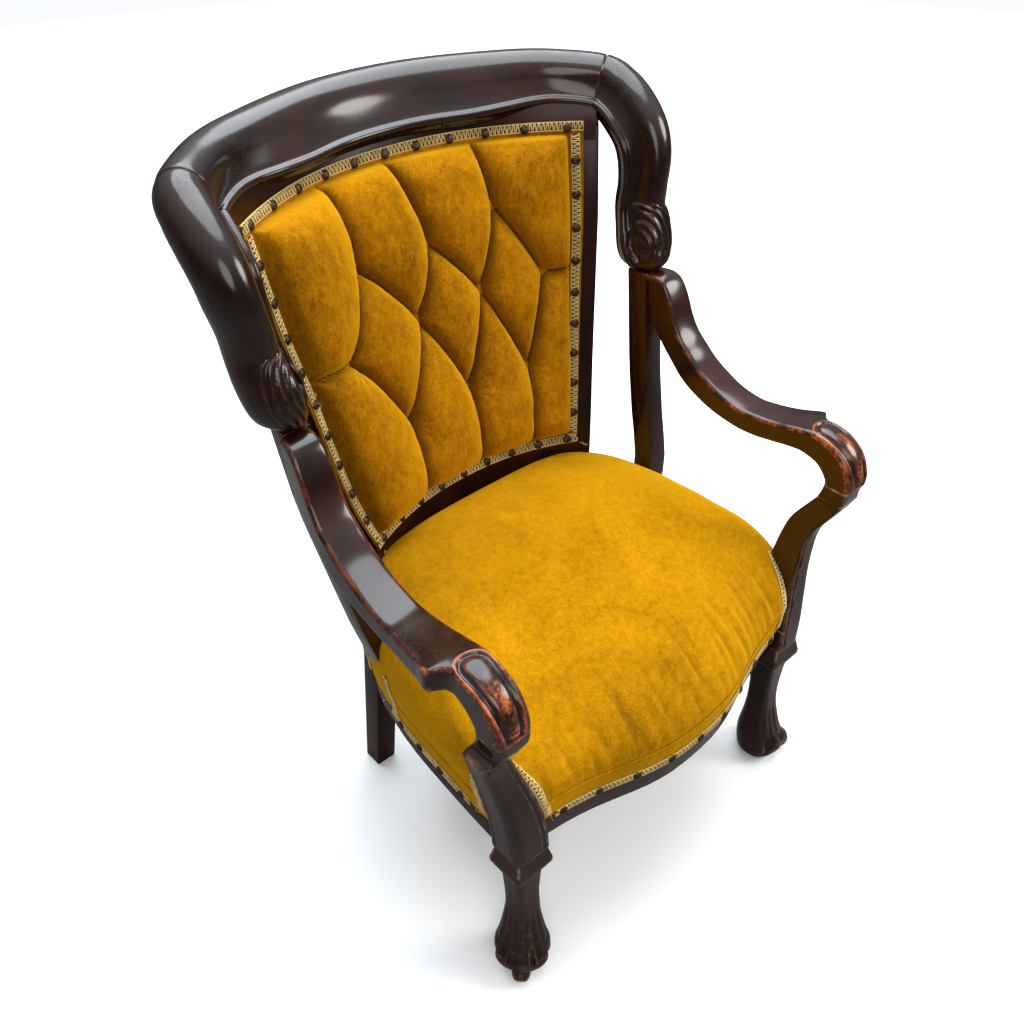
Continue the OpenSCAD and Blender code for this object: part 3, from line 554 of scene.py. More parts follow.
rail_rings = crest_rings(whole_rail)
crest = shaped_sheet("crest_moulding", metres(soft_ends(rail_rings)), tube=True)
mark_edges(crest, 2, 1.0)
height_share = corners_of(crest)
side = np.abs(height_share[:, 0])
keep_value(crest, "craze", np.clip((side - 0.19) / 0.05, 0, 1))
print("crest triangles:", sum(len(p.vertices) - 2 for p in crest.data.polygons))

# %% [markdown]
# ### Carving the ears
# The last hand of the moulding turns down and ends in a leaf. The carver first leaves a plain
# swelling, then cuts nested hollows that all sweep round one eye near the inner edge. The same
# is done here: every point of the ear knows how far round the section and how far up the path
# it lies, and the cut is a wave in its distance from the eye.

# %% Cut the leaf
eye_round, eye_up = 26.0, 26.0


def leaf_cut(round_mm, up_mm):
    """Height of the carving over the plain ear, in millimetres, and how high each fold stands."""
    x = round_mm - eye_round
    y = (up_mm - eye_up) * np.where(up_mm > eye_up, 0.60, 1.0)
    r = np.hypot(x, y)
    angle = np.degrees(np.arctan2(y, x))
    folds = 0.5 + 0.5 * np.cos(2 * np.pi * (r - 3.0) / 8.6)
    folds = folds**0.7
    # The leaf runs from its tips, up and inward of the eye, round the outside to below the eye
    tips = 96 + 14 * np.cos(2 * np.pi * (r - 3.0) / 17.2) - np.clip(r - 30, 0, 40) * 0.2
    inside = np.clip((tips - angle) / 5, 0, 1) * np.clip((angle + 118) / 14, 0, 1)
    inside *= np.clip((62 - r) / 5, 0, 1)
    inside *= np.clip((98 - up_mm) / 8, 0, 1)
    leaf = inside * (3.4 * folds - 1.5) * np.clip((r - 4) / 5, 0.2, 1)
    # A rim comes down the inner edge, passes under the eye and curls into it
    curl_r = np.where(angle < -60, 24 - (angle + 60) * -0.05, 24)
    rim = np.exp(-(((r - curl_r) / 3.2) ** 2)) * ((angle < -150) | (angle > 100) | (angle < -20))
    rim = rim * np.clip((60 - up_mm) / 20, 0, 1)
    pit = np.exp(-(((r - 15) / 5.0) ** 2)) * (np.abs(angle) > 115)
    return leaf + 2.2 * rim - 2.6 * pit, inside * folds


ear_rings = crest_rings(ear_path)
lengths = np.concatenate([[0], np.cumsum(np.linalg.norm(np.diff(ear_rings[len(ear_rings) // 2],
                         axis=0), axis=1))])
n_top = (len(roll) - 1) * 5 + 1
n_bead = 11
round_mm = lengths[n_top + n_bead // 2] - lengths
up_mm = ear_along[-1] - ear_along
grid_round, grid_up = np.meshgrid(round_mm, up_mm)
cut, folds = leaf_cut(grid_round, grid_up)
cut = cut * np.clip(grid_round / 3, 0, 1) * np.clip((grid_up - 3) / 5, 0, 1)
ring_next = np.roll(ear_rings, -1, axis=1) - np.roll(ear_rings, 1, axis=1)
path_next = np.gradient(ear_rings, axis=0)
outward = unit(np.cross(ring_next, path_next))
centres = ear_rings.mean(1, keepdims=True)
outward *= np.sign(((ear_rings - centres) * outward).sum(2, keepdims=True).mean())
carved = ear_rings + outward * cut[..., None]
print("carving from", round(float(cut.min()), 1), "to", round(float(cut.max()), 1), "mm")

# %% Make both ears
carved[0] = soft_ends(ear_rings)[0]
ear_right = shaped_sheet("crest_ear_carved_right", metres(carved), tube=True)
mark_edges(ear_right, 1, 1.2)
co = corners_of(ear_right)
keep_value(ear_right, "craze", np.clip((co[:, 2] - 0.9) / 0.03, 0, 1))
ear_left = mirrored(ear_right, "crest_ear_carved_left")
for piece, gone in ((crest, "crest_rail"), (ear_right, "crest_ear_right"), (ear_left, "crest_ear_left")):
    piece.data.materials.append(crest_wood)
    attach(piece, "root")
    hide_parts(gone)
print("ear points:", len(co))

# %% [markdown]
# ## Arms
# An arm is sawn from one plank to a swept outline, then its upper face is rounded and ends in
# a crook over the front post. Rings across the plank follow the outline: each joins a point of
# the upper edge to one of the lower edge. A rounded tongue in a sunk oval is carved on the
# front of the crook.

# %% Rings of an arm
# upper depth and height, lower depth and height
arm_rows = [
    (377, 717, 366, 645), (358, 717, 362, 641), (345, 709, 358, 638), (333, 689, 352, 634),
    (321, 661, 344, 626), (308, 640, 334, 615), (292, 625, 319, 600), (275, 611, 302, 584),
    (254, 599, 279, 570), (227, 587, 242, 556), (195, 580, 199, 549), (170, 581, 166, 550),
    (140, 585, 137, 555), (110, 592, 112, 560), (83, 597, 92, 562), (64, 596, 78, 560),
    (46, 590, 69, 557), (32, 581, 62, 553), (22, 569, 57, 548), (16, 556, 53, 543),
    (13, 545, 50, 538), (13, 533, 49, 533)]
# depth to outer face, from the crook back along the arm
outer_face = np.array([(5, 324), (60, 324), (82, 323), (90, 327), (95, 335), (99, 342), (104, 342),
                       (122, 337), (150, 332), (180, 328), (220, 326), (300, 325), (340, 320), (380, 314)])
arm_inner = 277.0


def rounded_section(width, height, radius, sides=(16, 10), bend=5):
    """Closed rounded rectangle from -width/2 to width/2 and from 0 to height."""
    out = []
    w, h = width / 2 - radius, height / 2 - radius
    for cx, cy, start in ((w, h, 0), (-w, h, 90), (-w, -h, 180), (w, -h, 270)):
        a = np.radians(start + np.linspace(0, 90, bend + 1))
        out.append(np.stack([cx + radius * np.cos(a), cy + radius * np.sin(a)], 1))
    loop = []
    for k, n in zip(range(4), (sides[0], sides[1], sides[0], sides[1])):
        loop.append(out[k])
        a, b = out[k][-1], out[(k + 1) % 4][0]
        loop.append(a + (b - a) * np.linspace(0, 1, n + 2)[1:-1, None])
    loop = np.concatenate(loop)
    loop = np.concatenate([loop, loop[:1]])
    return loop + [0, height / 2]


outline = smooth(arm_rows, 10)
outline, arm_along = even(outline, 2.0, 2)
print("arm rings:", len(outline), "length of its upper edge:", round(float(arm_along[-1])), "mm")


# %% Carve the tongue and shape the arm
def oval_distance(side_mm, along_mm, start, end, half):
    """Signed distance, in millimetres, from a tongue that narrows towards its end."""
    t = np.clip((along_mm - start) / (end - start), 0, 1)
    width = half * (1 - 0.55 * t**2.2)
    d = np.abs(side_mm) - width
    round_start = np.hypot(side_mm, np.minimum(along_mm - start - half, 0)) - width
    return np.where(along_mm < start + half, round_start, np.maximum(d, along_mm - end))


tongue_start = arm_along[-1] - 108
tongue_end = arm_along[-1] - 8
rings, tongue, rubs = [], [], []
for row, along in zip(outline, arm_along):
    upper, lower = row[:2], row[2:]
    tall = np.linalg.norm(upper - lower)
    up_line = (upper - lower) / tall
    wide_up = np.interp(upper[0], *outer_face.T) - arm_inner
    wide_low = np.interp(lower[0], *outer_face.T) - arm_inner
    section = rounded_section(wide_up, tall, min(5.5, wide_up / 3))
    share = section[:, 1] / tall
    across = (section[:, 0] / wide_up + 0.5) * (wide_low + (wide_up - wide_low) * share)
    crown = 2.0 * np.clip(1 - (2 * section[:, 0] / wide_up) ** 2, 0, 1) * (share > 0.9)
    centre = wide_up / 2 + 1
    d = oval_distance(across - centre, along, tongue_start, tongue_end, 13.5)
    on_top = np.clip((share - 0.80) / 0.15, 0, 1)
    pillow = np.where(d < 0, 2.4 * (1 - np.exp(d / 5.0)), 0)
    groove = -4.2 * np.exp(-(((d - 2.8) / 2.3) ** 2))
    rim = 0.9 * np.exp(-(((d - 7.0) / 1.8) ** 2))
    carve = (pillow + groove + rim) * on_top * (along > tongue_start - 14)
    reach = section[:, 1] + crown + carve
    point = lower + up_line * reach[:, None]
    rings.append(np.stack([arm_inner + across, point[:, 0], point[:, 1]], 1))
    tongue.append(np.where(on_top > 0.5, d, 99))
    edge_in = np.exp(-((across / 4.0) ** 2)) * (share > 0.85)
    edge_out = np.exp(-(((wide_up - across) / 3.5) ** 2)) * (share > 0.85)
    middle = np.exp(-(((across - centre + 1) / 7.0) ** 2)) * np.clip((along - tongue_start - 22) / 14, 0, 1)
    heel = np.exp(-(((upper[0] - 100) / 22) ** 2)) * edge_out
    streak = np.clip((along - 120) / 200, 0.1, 1)
    rubs.append(np.clip(0.9 * edge_in * streak + 0.6 * edge_out * streak + heel
                        + 1.0 * middle * (d < 0) + 0.75 * np.exp(-(((d - 7) / 1.6) ** 2)) * on_top, 0, 1)
                * (along > 25))
rings, rubs = np.array(rings), np.array(rubs)
arm_right = shaped_sheet("arm_carved_right", metres(rings), tube=True, values={"rub": rubs})
print("arm triangles:", 2 * len(arm_right.data.polygons))

# %% Mark its rubbed places and copy it to the left
mark_edges(arm_right, 1, 1.3)
co = corners_of(arm_right)
patch = np.exp(-(((co[:, 1] + 0.20) / 0.05) ** 2)) * (co[:, 2] > 0.575)
keep_value(arm_right, "craze", np.clip(patch, 0, 1))
arm_left = mirrored(arm_right, "arm_carved_left")
for piece, gone in ((arm_right, "arm_right"), (arm_left, "arm_left")):
    piece.data.materials.append(arm_wood)
    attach(piece, "root")
    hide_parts(gone)
print("arms made")

# %% [markdown]
# ## Front legs
# Each front leg is one piece from the crook to the floor: a swept post with a rounded corner
# between two quirks, a square collar, a waisted and fluted leg, and a paw. It is turned on the
# band saw in two views, so level rings describe it best.

# %% Outlines of the post, and the rows of collar, leg and paw
post_front = np.array([(533, 13), (521, 14), (508, 17), (484, 28), (464, 39), (449, 47), (432, 50),
                       (412, 49), (380, 45), (340, 38), (295, 32), (254, 30)], float)
post_back = np.array([(533, 49), (517, 52), (499, 60), (478, 73), (457, 85), (437, 90), (419, 92),
                      (394, 93), (360, 92), (326, 88), (306, 84), (254, 83)], float)
post_inner = np.array([(533, 277), (510, 277), (502, 283), (478, 279), (430, 268), (380, 251),
                       (335, 239), (290, 232), (254, 230)], float)
post_outer = np.array([(533, 324), (512, 324), (503, 335), (492, 332), (468, 320), (430, 308),
                       (380, 296), (335, 289), (290, 285), (254, 283)], float)


def level(table, z):
    fine = smooth(table[::-1], 8)
    return np.interp(z, fine[:, 0], fine[:, 1])


leg_points = 144
angles = np.radians(np.arange(leg_points + 1) * 360 / leg_points - 45 + 180)
toe_angle = -45.0


def squared(a, exponent):
    """Radius of a unit square with rounded corners, in direction a."""
    return (np.abs(np.cos(a)) ** exponent + np.abs(np.sin(a)) ** exponent) ** (-1 / exponent)


# height, middle (width, depth), radius, how square
paw_rows = smooth([
    (214, 256, 56.5, 22.5, 9), (209, 256, 56.5, 21.2, 7), (198, 255, 57, 20.5, 5), (180, 255, 57, 19.6, 4.5),
    (150, 255, 56.5, 18.6, 4), (125, 255, 55.5, 19.2, 3.6), (105, 256, 55, 21.0, 3.2),
    (85, 257, 54, 24.2, 2.8), (66, 258, 53, 28.5, 2.4), (50, 259.5, 51.5, 32.5, 2.2),
    (36, 261, 50, 34.5, 2.1), (22, 262, 49, 34.5, 2.1),
    (10, 262, 49, 32.0, 2.1), (3, 262, 49, 28.0, 2.1), (0, 262, 49, 24.0, 2.1)], 10)
paw_rows, _ = even(paw_rows, 1.8, 1)
print("rings of leg and paw:", len(paw_rows))


# %% Shape the post
def post_ring(z):
    """Level ring of the post at height z, with a rounded outer corner and two quirks."""
    f, b, i, o = (level(k, z) for k in (post_front, post_back, post_inner, post_outer))
    hw, hd = (o - i) / 2, (b - f) / 2
    a = angles
    outward = np.clip(np.cos(a - math.radians(-45)), 0, 1)
    exponent = 9 - 5.6 * outward**2
    r = (np.abs(np.cos(a)) ** exponent + np.abs(np.sin(a)) ** exponent) ** (-1 / exponent)
    x, y = hw * r * np.cos(a), hd * r * np.sin(a)
    panel_on = np.clip((496 - z) / 10, 0, 1) * np.clip((z - 258) / 8, 0, 1)
    for along, depth_line in ((x / hw, y / hd), (-y / hd, -x / hw)):
        face = np.clip((-depth_line - 0.80) / 0.12, 0, 1)
        quirk = np.exp(-(((along + 0.62) / 0.07) ** 2)) * face * panel_on
        x = x * (1 - 0.10 * quirk)
        y = y * (1 - 0.13 * quirk)
    return np.stack([(i + o) / 2 + x, (f + b) / 2 + y, np.full_like(x, z)], 1)


# height, half width, half depth
collar = [(254.0, 23.5, 21.5), (252.0, 23.8, 21.8), (232.0, 28.4, 26.4), (229.0, 29.3, 27.3),
          (227.5, 29.5, 27.5), (221.0, 29.5, 27.5), (219.5, 29.0, 27.0), (214.5, 24.2, 23.4),
          (214.0, 23.4, 22.9)]


def collar_ring(z, hw, hd):
    r = squared(angles, 26)
    return np.stack([256 + hw * r * np.cos(angles), 56.5 + hd * r * np.sin(angles),
                     np.full_like(angles, z)], 1)


def paw_ring(z, cx, cy, radius, square):
    """Leg and paw: flutes fan into three toes round the outward corner, with two more behind."""
    a = angles
    from_toe = np.degrees((a - math.radians(toe_angle) + np.pi) % (2 * np.pi) - np.pi)
    r = radius * squared(a, square) * (1 + 0.0 * a)
    front = np.clip(1.25 - np.abs(from_toe) / 105, 0, 1)
    flute_on = np.clip((128 - z) / 40, 0, 1) * np.clip((z - 34) / 18, 0, 1)
    flutes = np.abs(np.cos(np.radians(from_toe * 180 / 25.0 / 1)))
    r += flute_on * front * (3.0 * flutes**0.8 - 1.8)
    toe_on = np.clip((62 - z) / 22, 0, 1)
    claws = 0
    for spot, size, low, wide in ((0, 12.0, 17, 19.0), (50, 6.5, 33, 19.0), (-50, 6.5, 33, 19.0),
                                  (100, 3.0, 26, 22.0), (-100, 3.0, 26, 22.0)):
        bump = np.exp(-(((from_toe - spot) / wide) ** 4))
        up = np.exp(-(((z - low) / 21.0) ** 4)) if z > low else np.exp(-(((z - low) / 15.0) ** 2))
        claws = np.maximum(claws, bump * size * up)
    gaps = np.exp(-(((np.abs(from_toe) - 26) / 5.0) ** 2)) + np.exp(-(((np.abs(from_toe) - 76) / 6.0) ** 2))
    r += toe_on * (claws - 4.0 * gaps * np.clip((z - 4) / 8, 0, 1))
    return np.stack([cx + r * np.cos(a), cy + r * np.sin(a), np.full_like(a, z)], 1)


post_levels = np.arange(533, 254, -2.0)
rings = [post_ring(z) for z in post_levels]
collar_fine, _ = even(collar, 1.2)
rings += [collar_ring(*row) for row in collar_fine]
rings += [paw_ring(*row) for row in paw_rows]
leg_rings = np.array(rings)
leg_right = shaped_sheet("front_leg_carved_right", metres(leg_rings), tube=True)
print("leg rings:", len(leg_rings))

# %% Rub its edges and copy it
mark_edges(leg_right, 1, 1.3)
co = corners_of(leg_right)
toe_tip = np.exp(-(((co[:, 2] - 0.016) / 0.014) ** 2)) * np.clip((co[:, 0] - co[:, 1] - 0.575) / 0.02, 0, 1)
keep_value(leg_right, "rub", np.clip(toe_tip * 0.9, 0, 1))
leg_left = mirrored(leg_right, "front_leg_carved_left")
for piece, gone in ((leg_right, "front_leg_right"), (leg_left, "front_leg_left")):
    piece.data.materials.append(leg_wood)
    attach(piece, "root")
    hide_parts(gone)
print("front legs made")

# %% [markdown]
# ## Plain frame pieces
# Posts, rear legs and rails are plain sawn wood with their sharp edges taken off. Their shape
# is right in the frame already, so each is copied, its loose faces are joined, and a small
# bevel softens the arrises.

# %% Copy and bevel the frame pieces
def eased_copy(name, node, width, angle=38):
    """A copy of a frame node with joined faces and its sharp edges rounded."""
    bpy.ops.object.select_all(action="DESELECT")
    source = nodes[node]
    piece = bpy.data.objects.new(name, source.data.copy())
    piece.data.name = name
    scene.collection.objects.link(piece)
    piece.data.materials.clear()
    bpy.context.view_layer.objects.active = piece
    piece.select_set(True)
    bpy.ops.object.mode_set(mode="EDIT")
    bpy.ops.mesh.select_all(action="SELECT")
    bpy.ops.mesh.remove_doubles(threshold=1e-5)
    bpy.ops.mesh.dissolve_limited(angle_limit=math.radians(1.5))
    bpy.ops.object.mode_set(mode="OBJECT")
    if piece.data.has_custom_normals:
        bpy.ops.mesh.customdata_custom_splitnormals_clear()
    soft = piece.modifiers.new("eased", "BEVEL")
    soft.width = width
    soft.segments = 3
    soft.limit_method = "ANGLE"
    soft.angle_limit = math.radians(angle)
    bpy.ops.object.modifier_apply(modifier="eased")
    bpy.ops.object.shade_smooth_by_angle(angle=math.radians(35))
    piece.data.materials.append(dull_wood)
    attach(piece, "root")
    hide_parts(node)
    return piece


eased = {}
for node_name, soft_mm in (("back_post_left", 2.5), ("back_post_right", 2.5), ("rear_leg_left", 2.0),
                           ("rear_leg_right", 2.0), ("front_rail", 2.5), ("side_rail_left", 2.0),
                           ("side_rail_right", 2.0), ("back_bottom_rail", 2.0), ("back_top_rail", 1.5)):
    eased[node_name] = eased_copy(node_name + "_eased", node_name, soft_mm / 1000)
for key in ("back_post_left", "back_post_right", "front_rail"):
    eased[key].data.materials[0] = arm_wood
print("eased pieces:", len(eased))

# %% [markdown]
# ## Golden velvet
# Velvet is a short upright pile. It looks dark and brown where one looks straight into the
# pile, and bright and yellow where the pile is seen from its side or has been brushed over.
# So a painted sheen mixes its colour by the angle to the eye with Layer Weight, and cloudy
# patches of brushed pile vary it too. Fine noise makes the mottled nap. The Sheen of the
# Principled shader lights the rims.

# %% Build the velvet group
velvet_group, g_in, g_out = new_group("velvet_nap",
    [("Deep", COLOUR, (0.20, 0.085, 0.004, 1)), ("Bright", COLOUR, (0.62, 0.33, 0.016, 1)),
     ("Brushed", FLOAT, 0.6)],
    [("Colour", COLOUR), ("Roughness", FLOAT), ("Height", FLOAT)])
t = velvet_group
place = add(t, "ShaderNodeTexCoord").outputs["Object"]
drop = add(t, "ShaderNodeMapping", {"Vector": place, "Scale": (1.0, 1.0, 0.45)}).outputs[0]
clouds = ramp(t, noise(t, place, 6, 4, 0.6, 0.8), [(0.32, 0.0), (0.70, 1.0)])
mottle = ramp(t, noise(t, drop, 120, 3, 0.6), [(0.28, 0.0), (0.72, 1.0)])
nap = ramp(t, noise(t, drop, 430, 3, 0.65), [(0.36, 0.0), (0.64, 1.0)])
share = math_node(t, "MULTIPLY", clouds, g_in.outputs["Brushed"])
share = math_node(t, "ADD", math_node(t, "MULTIPLY", mottle, 0.42), share, True)
share = math_node(t, "ADD", math_node(t, "MULTIPLY", nap, 0.3), math_node(t, "MULTIPLY", share, 0.8), True)
# painted shade: the velvet turns dark brown where the hollow attribute marks pleats, seams and the shade of the back
painted_crease_shade = add(t, "ShaderNodeAttribute", attribute_name="hollow").outputs["Fac"]
colour = blend_colour(t, share, g_in.outputs["Deep"], g_in.outputs["Bright"])
colour = blend_colour(t, math_node(t, "MULTIPLY", painted_crease_shade, 0.75, True), colour, (0.05, 0.022, 0.002, 1))
t.links.new(colour, g_out.inputs["Colour"])
t.links.new(math_node(t, "ADD", math_node(t, "MULTIPLY", mottle, 0.1), 0.82), g_out.inputs["Roughness"])
relief = math_node(t, "ADD", math_node(t, "MULTIPLY", mottle, 0.6), math_node(t, "MULTIPLY", nap, 0.8))
t.links.new(relief, g_out.inputs["Height"])


def velvet_material(name, deep, bright, brushed):
    """Velvet: the group's colour with a painted sheen, lightened towards the rim of each form by the angle to the eye.
    """
    m = finish_material(name, velvet_group, {"Deep": deep, "Bright": bright, "Brushed": brushed},
        {"Sheen Weight": 0.22, "Sheen Roughness": 0.35, "Sheen Tint": (1.0, 0.62, 0.05, 1),
         "Specular IOR Level": 0.02}, bump=0.0006)
    tree = m.node_tree
    shader = tree.nodes["Principled BSDF"]
    body = shader.inputs["Base Color"].links[0].from_socket
    # painted sheen: Base Color is lightened towards the rim, where the surface turns away from the eye
    facing = add(tree, "ShaderNodeLayerWeight", {"Blend": 0.42}).outputs["Facing"]
    rim = ramp(tree, facing, [(0.25, 0.0), (0.85, 1.0)])
    tree.links.new(blend_colour(tree, math_node(tree, "MULTIPLY", rim, 0.6), body,
                   (0.86, 0.43, 0.006, 1)), shader.inputs["Base Color"])
    return m


# painted shade: the back's velvet is the same cloth as the seat's, given darker colours because the upright panel faces
# less of the light
shaded_back_velvet = velvet_material("shaded_back_velvet", (0.10, 0.033, 0.001, 1), (0.56, 0.225, 0.003, 1), 0.5)
seat_velvet = velvet_material("seat_velvet", (0.20, 0.082, 0.001, 1), (0.60, 0.275, 0.003, 1), 0.55)
print("velvet materials: 2")

# %% [markdown]
# ## The buttoned back
# Deep buttoning pulls the cover down at ten points and folds the slack between them into
# pleats. Between the pleats the filling swells like a stretched skin over air, so the height
# of each puff is worked out as a membrane under pressure that is held at zero along every
# pleat. Its square root stands up steeply beside the pleats and is round on top, as hair
# filling is. A short cloth run on the finished cover then loosens it.

# %% The surface of the panel
# height, half width, depth at the middle, depth at the side
panel_rows = smooth([(457, 185, 459, 412), (510, 201, 476, 428), (570, 213, 494, 441), (690, 230, 527, 459),
                     (780, 245, 552, 473), (905, 258, 592, 492), (930, 262, 600, 498)], 10)


def panel_point(s, z):
    half, middle, edge_depth = (np.interp(z, panel_rows[:, 0], panel_rows[:, k]) for k in (1, 2, 3))
    return np.stack([s * half, middle - (middle - edge_depth) * np.abs(s) ** 2.2, z], -1)


def panel_normal(s, z):
    """Points towards the sitter."""
    across = panel_point(s + 0.02, z) - panel_point(s - 0.02, z)
    up = panel_point(s, z + 5) - panel_point(s, z - 5)
    return unit(np.cross(across, up))


def on_panel(s, z, out=0.0):
    s, z = np.broadcast_arrays(np.asarray(s, float), np.asarray(z, float))
    return panel_point(s, z) + panel_normal(s, z) * np.asarray(out)[..., None]


# share of the half width, height
button_spots = [(-0.41, 791), (0.10, 784), (0.53, 810),
                (-0.65, 691), (-0.07, 695), (0.39, 706), (0.78, 714),
                (-0.35, 572), (0.18, 579), (0.645, 583)]
pleats = [(0, 3), (0, 4), (1, 4), (1, 5), (2, 5), (2, 6), (3, 7), (4, 7), (4, 8), (5, 8), (5, 9), (6, 9)]
to_border = [(0, (-0.455, 892)), (1, (-0.04, 893)), (2, (0.465, 894)), (3, (-0.95, 706)),
             (6, (0.95, 716)), (7, (-0.43, 468)), (8, (0.15, 469)), (9, (0.63, 470))]
flat_scale = 230.0
print("pleats:", len(pleats) + len(to_border))

# %% Swell the puffs
n_s, n_z = 262, 252
s_line, z_line = np.linspace(-1, 1, n_s), np.linspace(459, 903, n_z)
S, Z = np.meshgrid(s_line, z_line)
X = S * flat_scale
step = float(z_line[1] - z_line[0])


def distance_to_line(a, b):
    """Distance of every grid point from the stretch a to b, all in flat millimetres."""
    a, b = np.array(a, float), np.array(b, float)
    d = b - a
    k = np.clip(((X - a[0]) * d[0] + (Z - a[1]) * d[1]) / (d @ d), 0, 1)
    return np.hypot(X - a[0] - k * d[0], Z - a[1] - k * d[1])


flat_buttons = [(s * flat_scale, z) for s, z in button_spots]
pleat_d = np.full(X.shape, 1e3)
for a, b in pleats:
    pleat_d = np.minimum(pleat_d, distance_to_line(flat_buttons[a], flat_buttons[b]))
for a, (s, z) in to_border:
    pleat_d = np.minimum(pleat_d, distance_to_line(flat_buttons[a], (s * flat_scale, z)))
button_d = np.min([np.hypot(X - x, Z - z) for x, z in flat_buttons], axis=0)
border_d = np.minimum.reduce([(0.932 - np.abs(S)) * flat_scale, Z - 474.5, 887.5 - Z])
held = (pleat_d < step * 0.75) | (border_d <= 0)
swell = np.zeros_like(X)
checker = (np.add.outer(np.arange(n_z), np.arange(n_s)) % 2).astype(bool)
for _ in range(420):
    for colour_of_cell in (checker, ~checker):
        around = np.zeros_like(swell)
        around[1:-1, 1:-1] = (swell[:-2, 1:-1] + swell[2:, 1:-1] + swell[1:-1, :-2] + swell[1:-1, 2:]) / 4
        fresh = swell + 1.85 * (around + step * step / 4 - swell)
        swell = np.where(colour_of_cell & ~held, fresh, swell)
        swell[0], swell[-1], swell[:, 0], swell[:, -1] = 0, 0, 0, 0
puff_top = 50.0
puff = np.sqrt(np.clip(swell, 0, None)) * np.clip(pleat_d / 3.0, 0, 1) ** 0.5 * np.clip(border_d / 2, 0, 1)
puff = puff_top * (1 - np.exp(-2.05 * puff / puff_top))
inside = np.clip(border_d / 26, 0, 1) ** 0.6
floor_mm = 7.0 * (1 - np.exp(-((button_d / 24) ** 2))) * inside
height = puff + floor_mm + 0.4
print("greatest puff:", round(float(height.max()), 1), "mm")


# %% Gather the cloth round the buttons and soften it
def blur(a, times=1):
    for _ in range(times):
        p = np.pad(a, 1, mode="edge")
        a = (p[:-2, 1:-1] + p[2:, 1:-1] + p[1:-1, :-2] + p[1:-1, 2:] + 4 * a) / 8
    return a


height = np.where(border_d > -1, blur(height, 1), height)
for (bx, bz) in flat_buttons:
    r = np.hypot(X - bx, Z - bz)
    a = np.arctan2(Z - bz, X - bx)
    gather = np.sin(a * 11 + rng.uniform(0, 6)) * np.exp(-(((r - 16) / 12) ** 2))
    height = height + 0.5 * gather * np.clip(pleat_d / 4, 0, 1) * np.clip(border_d / 8, 0, 1)
wander = blur(rng.normal(size=X.shape), 60)
height = height + wander / wander.std() * 0.45 * np.clip(border_d / 15, 0, 1)
front = on_panel(S, Z, height)
print("puffs shaped on", front.shape[0] * front.shape[1], "points")

# %% [markdown]
# ### Loosen the cover as cloth
# The puffs are now exact, and real ones are not. A coarse sheet of the same shape is run as
# cloth for a few frames with a little air pressure behind it, held fast in the pleats and at
# the rim, and its movement is carried over to the fine cover. No point may move further than
# a few millimetres.

# %% Run the cloth
def settle_as_cloth(piece, hold, pressure, frames, most, stiff=12.0):
    """Runs Cloth on the piece with `hold` (0 to 1 for each point) and returns how each point
    moved, no further than `most`."""
    before = corners_of(piece)
    bpy.ops.object.select_all(action="DESELECT")
    piece.select_set(True)
    bpy.context.view_layer.objects.active = piece
    group = piece.vertex_groups.new(name="held")
    for share_held in np.unique(np.round(hold, 1)):
        chosen = np.nonzero(np.round(hold, 1) == share_held)[0].tolist()
        group.add(chosen, float(share_held), "REPLACE")
    cloth = piece.modifiers.new("settle", "CLOTH")
    cloth.settings.vertex_group_mass = "held"
    cloth.settings.effector_weights.gravity = 0
    cloth.settings.use_pressure = True
    cloth.settings.uniform_pressure_force = pressure
    cloth.settings.tension_stiffness = stiff
    cloth.settings.compression_stiffness = stiff
    cloth.settings.quality = 4
    cloth.collision_settings.use_collision = False
    cloth.point_cache.frame_start = 1
    cloth.point_cache.frame_end = frames
    for f in range(1, frames + 1):
        scene.frame_set(f)
    settled = piece.evaluated_get(bpy.context.evaluated_depsgraph_get())
    co = np.empty(len(settled.data.vertices) * 3, np.float32)
    settled.data.vertices.foreach_get("co", co)
    move = co.reshape(-1, 3) - before
    far = np.linalg.norm(move, axis=1, keepdims=True)
    piece.modifiers.remove(cloth)
    piece.vertex_groups.remove(group)
    scene.frame_set(1)
    print("cloth wanted to move", round(float(far.max()) * 1000, 1), "mm at most")
    return move * np.minimum(1, most / np.maximum(far, 1e-9))


def finer_grid(coarse, rows, columns):
    """A coarse grid of values stretched over a finer one."""
    r = np.linspace(0, coarse.shape[0] - 1, rows)
    c = np.linspace(0, coarse.shape[1] - 1, columns)
    r0 = np.clip(r.astype(int), 0, coarse.shape[0] - 2)
    c0 = np.clip(c.astype(int), 0, coarse.shape[1] - 2)
    fr, fc = (r - r0)[:, None, None], (c - c0)[None, :, None]
    top = coarse[r0][:, c0] * (1 - fc) + coarse[r0][:, c0 + 1] * fc
    low = coarse[r0 + 1][:, c0] * (1 - fc) + coarse[r0 + 1][:, c0 + 1] * fc
    return top * (1 - fr) + low * fr


cover_points = metres(front)
hold = np.clip(1.15 - np.minimum(pleat_d, border_d) / 9, 0, 1)
every = 3
pick_r = np.round(np.linspace(0, n_z - 1, n_z // every)).astype(int)
pick_c = np.round(np.linspace(0, n_s - 1, n_s // every)).astype(int)
trial = shaped_sheet("cloth_trial", cover_points[pick_r][:, pick_c])
move = settle_as_cloth(trial, hold[pick_r][:, pick_c].ravel(), 1.2, 12, 0.0035)
move = finer_grid(move.reshape(len(pick_r), len(pick_c), 3), n_z, n_s)
cover_points = cover_points + move * (1 - hold)[..., None]
bpy.data.objects.remove(trial)
behind = metres(on_panel(S, Z, -2.6))
wrapped = np.concatenate([cover_points, behind[::-3], behind[:1] * 0 + cover_points[:1]], axis=0)
